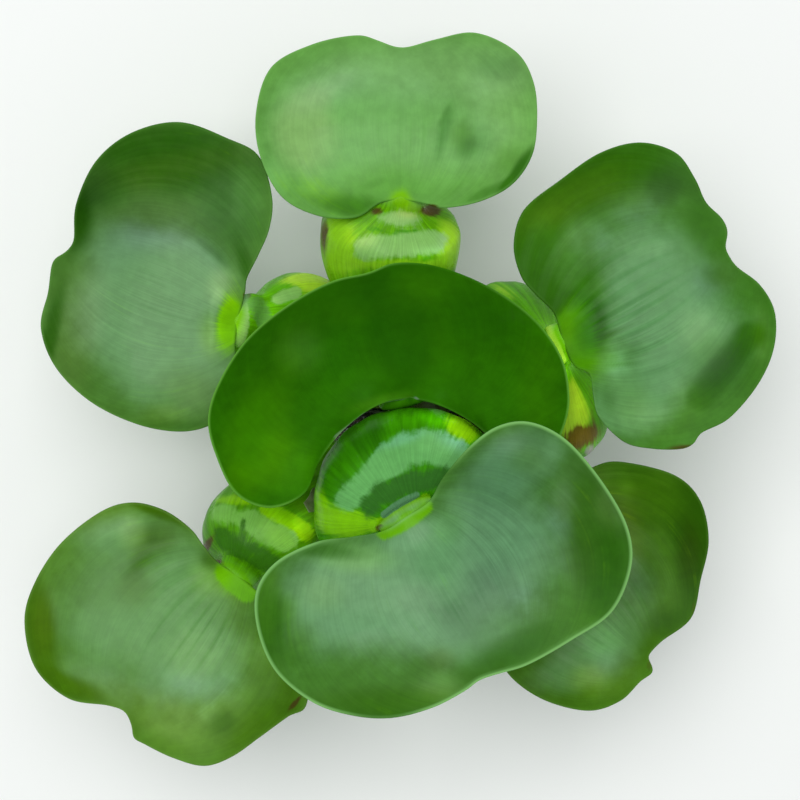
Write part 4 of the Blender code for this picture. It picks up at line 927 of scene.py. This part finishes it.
# Float skin: green with streaks along the stalk, yellow green on top, mint painted reflections of the sky,
# grey painted highlights and deep green painted shade on top, brown on the flanks, and duller olive where
# it runs down to the crown, partly its own tone and partly painted shade.
def floatFinish(name, leaf, seed):
    make = floatMake
    finish, tree, shader = newFinish("floatSkin_" + name, **{
        "IOR": 1.45, "Specular IOR Level": make["specular"], "Coat Weight": make["coat"],
        "Coat Roughness": 0.1})
    place = objectPlace(tree)
    streak = useGroup(tree, streaks, Across=attribute(tree, "skin", "Vector"), Density=make["density"],
                      Length=make["length"], Seed=seed)
    broad, middle, fine = (streak[title] for title in ("Broad", "Middle", "Fine"))
    cloud, mottle = clouds(tree, place, 300.0, 5.0, 0.7), clouds(tree, place, 420.0, 3.0)

    def dab(colour, title, tint):
        streaky, cloudy, low, high = make["borders"][title]
        mask = useGroup(tree, ragged, Mask=attribute(tree, title), Streak=middle, Cloud=cloud,
                        Streaky=streaky, Cloudy=cloudy, Low=low, High=high)["Mask"]
        return mixColour(tree, mask, colour, pigment(tint, make["shine"]))

    greens = (pigment([c * share for c in leaf["floatGreen"]], make["shine"]) for share in (0.9, 1.08))
    colour = mixColour(tree, softStep(tree, broad, 0.3, 0.7), *greens)
    # Yellow green is the float's own colour; the mint is a painted reflection of the sky, the grey a painted
    # highlight and the deep green painted shade.
    for title, tint in (("gold", "floatYellow"), ("mint", "reflectionGreen"), ("silver", "glintGrey"),
                        ("dark", "shadingGreen")):
        colour = dab(colour, title, leaf[tint])
    # Towards the crown the stalk turns dull olive: partly its own tone, partly painted shade deep among the
    # leaves.
    foot = softStep(tree, attribute(tree, "along"), 0.22, 0.03)
    colour = mixColour(tree, foot, colour, pigment(make["footTone"]))
    colour = dab(colour, "brown", make["brownTone"])
    # Over the blade the ridge takes the blade's painted sheen colour, yellow green towards the neck.
    neck = mixColour(tree, attribute(tree, "neckGold"), pigment(leaf["sheenGreen"]),
                     pigment(leaf["goldGreen"]))
    colour = mixColour(tree, softStep(tree, attribute(tree, "over"), 0.02, 0.35), colour, neck)
    # The wash paints light and shade onto the colour, and changes its tone.
    colour = timesColour(tree, colour, attribute(tree, "lightShadeWash", "Vector"))
    tone = aboutOne(tree, fine, 0.32, 0.68, make["streakSwing"])
    tone = calc(tree, "MULTIPLY", tone, aboutOne(tree, mottle, 0.3, 0.7, make["mottle"]))
    colour = timesColour(tree, colour, tone)
    feed(tree, colour, shader.inputs["Base Color"])
    feed(tree, softStep(tree, cloud, 0.25, 0.75, *make["rough"]), shader.inputs["Roughness"])
    height = calc(tree, "ADD", calc(tree, "MULTIPLY", fine, 0.7), calc(tree, "MULTIPLY", middle, 0.6))
    bumpFrom(tree, shader, height, *make["bump"])
    return finish


for order, (name, leaf) in enumerate(leaves.items()):
    makeFloat(name, leaf, floatFinish(name, leaf, 3.7 * order))
    makeBlade(name, leaf, bladeFinish(name, leaf, 5.3 * order + 1.0))
print("leaves made")


crownMake = {"radius": 8.3, "foot": 21.7, "top": 38.9, "sides": 120, "rows": 90, "scars": 7,
             "profile": ([0, 0.14, 0.37, 0.77, 0.93, 1], [0.72, 0.95, 1.0, 0.97, 0.86, 0.66]),
             "tones": ((70, 92, 34), (96, 116, 50)), "scarTone": (62, 56, 32), "bump": (0.4, 0.0005)}


# The short stem: a barrel turned about the upright axis, with slanting leaf scars as low ridges.
def makeCrown():
    make = crownMake
    share = np.linspace(0, 1, make["rows"])[:, None]
    angle = 2 * math.pi * np.arange(make["sides"])[None, :] / make["sides"]
    barrel = np.interp(share, *make["profile"])
    scars = np.abs(np.sin(math.pi * (make["scars"] * share + angle / (2 * math.pi) * 2))) ** 0.5
    bumps = 0.03 * np.sin(5 * angle + 9 * share) * np.sin(14 * share + 2 * angle)
    radius = make["radius"] * (barrel * (0.955 + 0.03 * scars) + bumps * 0.5)
    level = make["foot"] + (make["top"] - make["foot"]) * share * np.ones_like(angle)
    points = np.stack([radius * np.cos(angle), radius * np.sin(angle), level], axis=-1)
    rows, columns = points.shape[:2]
    faces = cappedFaces(rows, columns)
    finish, tree, shader = newFinish("crownFlesh", Roughness=0.5)
    place = objectPlace(tree)
    cloud, grain = clouds(tree, place, 160.0), clouds(tree, place, 700.0)
    scar = softStep(tree, attribute(tree, "scar"), 0.2, 0.9)
    colour = mixColour(tree, softStep(tree, cloud, 0.3, 0.7), *map(linear, make["tones"]))
    colour = mixColour(tree, scar, linear(make["scarTone"]), colour)
    feed(tree, colour, shader.inputs["Base Color"])
    bumpFrom(tree, shader, grain, *make["bump"])
    piece = makePiece("crown_stem", points.reshape(-1, 3), faces, finish,
                      {"scar": scars * np.ones(points.shape[:2])}, None, 0)
    dress(piece, "crown", "crown")


rootMake = {"radius": 37.0, "height": 20.4, "edge": 2.3, "locks": 21, "seed": 11,
            "upper": {"count": 60, "layers": (0.62, 1.0)}, "lower": {"count": 60, "layers": (0.10, 0.62)},
            "stations": 40, "hairs": 150, "hairLength": 4.6, "thick": 0.48, "hairThick": [0.11, 0.08, 0.02],
            "start": 21.4, "lowest": 0.75, "tones": ((58, 40, 50), (84, 60, 58)),
            "hairTone": (52, 36, 50), "tipTone": (110, 84, 78), "nearCrownShadeTone": (44, 72, 24)}


# Many thin tubes at once: round sections along each path, with pointed or capped ends.
def tubes(paths, radii, sides):
    course = unit(np.gradient(paths, axis=1) + 1e-9)
    across = unit(np.cross(course, [0.13, 0.21, 1.0]))
    rise = np.cross(across, course)
    angle = 2 * math.pi * np.arange(sides) / sides
    ring = (np.cos(angle)[:, None] * across[:, :, None, :] + np.sin(angle)[:, None] * rise[:, :, None, :])
    points = paths[:, :, None, :] + radii[:, :, None, None] * ring
    count, stations = paths.shape[:2]
    one = ringFaces(stations, sides)
    start = np.arange(count)[:, None, None] * stations * sides
    quads = (start + one[None]).reshape(-1, 4)
    cap = np.stack([np.arange(sides)[::-1], (stations - 1) * sides + np.arange(sides)])
    caps = (start + cap[None]).reshape(-1, sides)
    return points.reshape(-1, 3), quads, caps


# Height of the dome of roots at a distance from its middle.
def domeHeight(distance):
    share = np.clip(distance / rootMake["radius"], 0, 1)
    return rootMake["edge"] + (rootMake["height"] - rootMake["edge"]) * (1 - share ** 2.1)


# Each root leaves the crown's foot, drops to its own layer of the dome and runs outwards in a lock.
# Side hairs stand out from it both ways, shorter towards the tip, and droop.
def makeRoots(title, count, layers, chance):
    make = rootMake
    t = np.linspace(0, 1, make["stations"])[None, :]
    lock = np.floor(np.arange(count) / count * make["locks"])
    heading = 2 * math.pi * (lock + 0.28 * chance.normal(size=count)) / make["locks"]
    layer = chance.uniform(*layers, count)[:, None]
    end = (make["radius"] * chance.uniform(0.74, 0.985, count))[:, None]
    phase = chance.uniform(0, 2 * math.pi, (count, 1))
    bend = chance.normal(scale=0.16, size=(count, 1))
    start = chance.uniform(3.0, 6.6, count)[:, None]
    distance = start + (end - start) * t ** 0.92
    angle = heading[:, None] + bend * t ** 1.5 + 0.05 * np.sin(7 * t + phase) * t
    own = layer * domeHeight(distance) * (1 + 0.05 * np.sin(9 * t + phase)) - 0.7
    settle = np.clip(t / 0.22, 0, 1)
    settle = settle * settle * (3 - 2 * settle)
    height = np.maximum((1 - settle) * make["start"] + settle * own, make["lowest"])
    paths = np.stack([distance * np.cos(angle), distance * np.sin(angle), height], axis=-1)
    thick = make["thick"] * (1 - 0.7 * t) * chance.uniform(0.7, 1.1, (count, 1))
    points, quads, caps = tubes(paths, thick, 6)

    # Side hairs, three points long.
    at = chance.uniform(0.10, 1.0, (count, make["hairs"]))
    step = at * (make["stations"] - 1)
    low = np.clip(step.astype(int), 0, make["stations"] - 2)
    part = (step - low)[..., None]
    which = np.arange(count)[:, None]
    root = paths[which, low] * (1 - part) + paths[which, low + 1] * part
    course = unit(paths[which, low + 1] - paths[which, low])
    aside = unit(np.cross(course, [0, 0, 1.0]))
    up = np.cross(aside, course)
    spin = chance.uniform(0, 2 * math.pi, at.shape)[..., None]
    outward = np.cos(spin) * aside + 0.75 * np.sin(spin) * up + 0.45 * course
    length = (make["hairLength"] * (1 - 0.55 * at) * chance.uniform(0.5, 1.1, at.shape))[..., None]
    down = np.array([0, 0, -1.0])
    hair = np.stack([root, root + outward * length * 0.5 + down * length * 0.04,
                     root + outward * length + down * length * 0.22], axis=-2).reshape(-1, 3, 3)
    away = np.linalg.norm(hair[..., :2], axis=-1)
    roof = domeHeight(away) + 0.5
    hair[..., 2] = np.clip(hair[..., 2], 0.18, np.maximum(roof, 0.4))
    pull = np.minimum(1, (make["radius"] + 0.8) / np.maximum(away, 1e-6))
    hair[..., :2] *= pull[..., None]
    hairThick = np.array(make["hairThick"]) * np.ones((len(hair), 3))
    hairPoints, hairQuads, hairCaps = tubes(hair, hairThick, 3)
    shift = len(points)
    faces = quads.tolist() + caps.tolist() + (hairQuads + shift).tolist() + (hairCaps + shift).tolist()
    tip = np.concatenate([np.repeat(t * np.ones((count, 1)), 6, axis=1).ravel(),
                          np.repeat(np.repeat(at.ravel(), 3), 3)])
    fine = np.concatenate([np.zeros(len(points)), np.ones(len(hairPoints))])
    return makePiece("roots_" + title, np.vstack([points, hairPoints]), faces, rootFinish,
                     {"tip": tip, "hair": fine}, None, 0)


rootFinish, tree, shader = newFinish("rootFibre", Roughness=0.7)
place = objectPlace(tree)
colour = mixColour(tree, softStep(tree, clouds(tree, place, 90.0), 0.35, 0.65),
                   *map(linear, rootMake["tones"]))
colour = mixColour(tree, attribute(tree, "hair"), colour, linear(rootMake["hairTone"]))
colour = mixColour(tree, calc(tree, "MULTIPLY", attribute(tree, "tip"), 0.6), colour,
                   linear(rootMake["tipTone"]))
# Near the crown the roots turn deep green: partly their own tone, partly painted shade where they show
# between the inner leaves.
colour = mixColour(tree, softStep(tree, attribute(tree, "tip"), 0.50, 0.15), colour,
                   linear(rootMake["nearCrownShadeTone"]))
feed(tree, colour, shader.inputs["Base Color"])
bumpFrom(tree, shader, clouds(tree, place, 1500.0), 0.3, 0.0002)

sheathMake = {"route": [(-6.8, -5.9, 36.2), (-12.0, -10.6, 40.5), (-18.5, -16.0, 45.0), (-24.0, -19.5, 49.5),
                        (-28.5, -22.0, 56.0)],
              "widths": [3.0, 4.5, 5.0, 4.2, 1.2], "thickness": 0.16, "rows": 80, "columns": 24,
              "tones": ((150, 158, 120), (104, 116, 72)), "bump": (0.4, 0.0003)}


# A papery strip along its route, hollow across, with a ragged free edge that is thinnest at the rim.
def makeSheath():
    make = sheathMake
    route = smoothCurve(make["route"], make["rows"] - 1)
    way = np.linspace(0, 1, make["rows"])
    wide = np.interp(way, np.linspace(0, 1, 5), make["widths"])
    wide = softened(wide[:, None], 1.0, 4.0)[:, 0]
    torn = 1 + 0.05 * np.sin(31 * way) + 0.04 * np.sin(53 * way + 1.0)
    aside = unit(np.cross(np.gradient(route, axis=0), [0, 0, 1.0]))
    share = np.linspace(-1, 1, make["columns"])
    points = (route[:, None, :] + (share[None, :] * (wide * torn)[:, None])[..., None] * aside[:, None, :]
              + (share ** 2 * wide[:, None] * -0.35)[..., None] * np.array([0, 0, 1.0]))
    rib = 0.10 * np.sin(26 * share + 3 * way[:, None])
    thick = make["thickness"] * np.sqrt(1 - 0.97 * share ** 4) / 2 * np.ones((make["rows"], 1))
    upper = points + (rib + thick)[..., None] * [0, 0, 1.0]
    lower = points + (rib - thick)[..., None] * [0, 0, 1.0]
    loop = np.concatenate([upper, lower[:, ::-1]], axis=1)
    rows, columns = loop.shape[:2]
    faces = cappedFaces(rows, columns)
    finish, tree, shader = newFinish("sheathPaper", Roughness=0.3, Alpha=0.82)
    place = objectPlace(tree)
    colour = mixColour(tree, softStep(tree, clouds(tree, place, 200.0), 0.35, 0.65),
                       *map(linear, make["tones"]))
    feed(tree, colour, shader.inputs["Base Color"])
    bumpFrom(tree, shader, clouds(tree, place, 800.0), *make["bump"])
    piece = makePiece("sheath_paper", loop.reshape(-1, 3), faces, finish, None, None, 0)
    dress(piece, "sheath", "sheath")


makeCrown()
makeSheath()
chance = np.random.default_rng(rootMake["seed"])
for title in ("upper", "lower"):
    piece = makeRoots(title, rootMake[title]["count"], rootMake[title]["layers"], chance)
    dress(piece, "roots", "root_mass")
print("crown, roots and sheath made")


def makeRoom():
    make = roomMake
    size = make["floorSize"] / 2
    mesh = bpy.data.meshes.new("floor")
    corners = [(-size, -size, 0), (size, -size, 0), (size, size, 0), (-size, size, 0)]
    mesh.from_pydata(corners, [], [(0, 1, 2, 3)])
    floor = bpy.data.objects.new("floor", mesh)
    bpy.context.scene.collection.objects.link(floor)
    finish, tree, shader = newFinish("floorPaint", Roughness=0.85)
    colour = mixColour(tree, clouds(tree, objectPlace(tree), 30.0), linear(make["floor"]),
                       linear([c - 2 for c in make["floor"]]))
    feed(tree, colour, shader.inputs["Base Color"])
    mesh.materials.append(finish)

    world = bpy.data.worlds.new("studio")
    world.use_nodes = True
    bpy.context.scene.world = world
    world.node_tree.nodes["Background"].inputs["Color"].default_value = make["worldTint"]
    world.node_tree.nodes["Background"].inputs["Strength"].default_value = make["world"]

    lamp = bpy.data.lights.new("lampAbove", "AREA")
    lamp.shape, lamp.size, lamp.energy = "SQUARE", make["lampSize"], make["lamp"]
    lamp.color = make["lampTint"]
    holder = bpy.data.objects.new("lampAbove", lamp)
    x, y, z = holder.location = make["lampPlace"]
    holder.rotation_euler = (math.atan2(-y, z), math.atan2(x, z), 0)
    bpy.context.scene.collection.objects.link(holder)

    camera = bpy.data.cameras.new("camera")
    camera.sensor_width, camera.lens = 36.0, make["lens"]
    camera.clip_start, camera.clip_end = 0.01, 50.0
    holder = bpy.data.objects.new("camera", camera)
    holder.location = (sight["x"] * 0.001, sight["y"] * 0.001, sight["height"] * 0.001)
    bpy.context.scene.collection.objects.link(holder)
    bpy.context.scene.camera = holder
    bpy.context.scene.view_settings.view_transform = "Standard"


makeRoom()
print("room made")
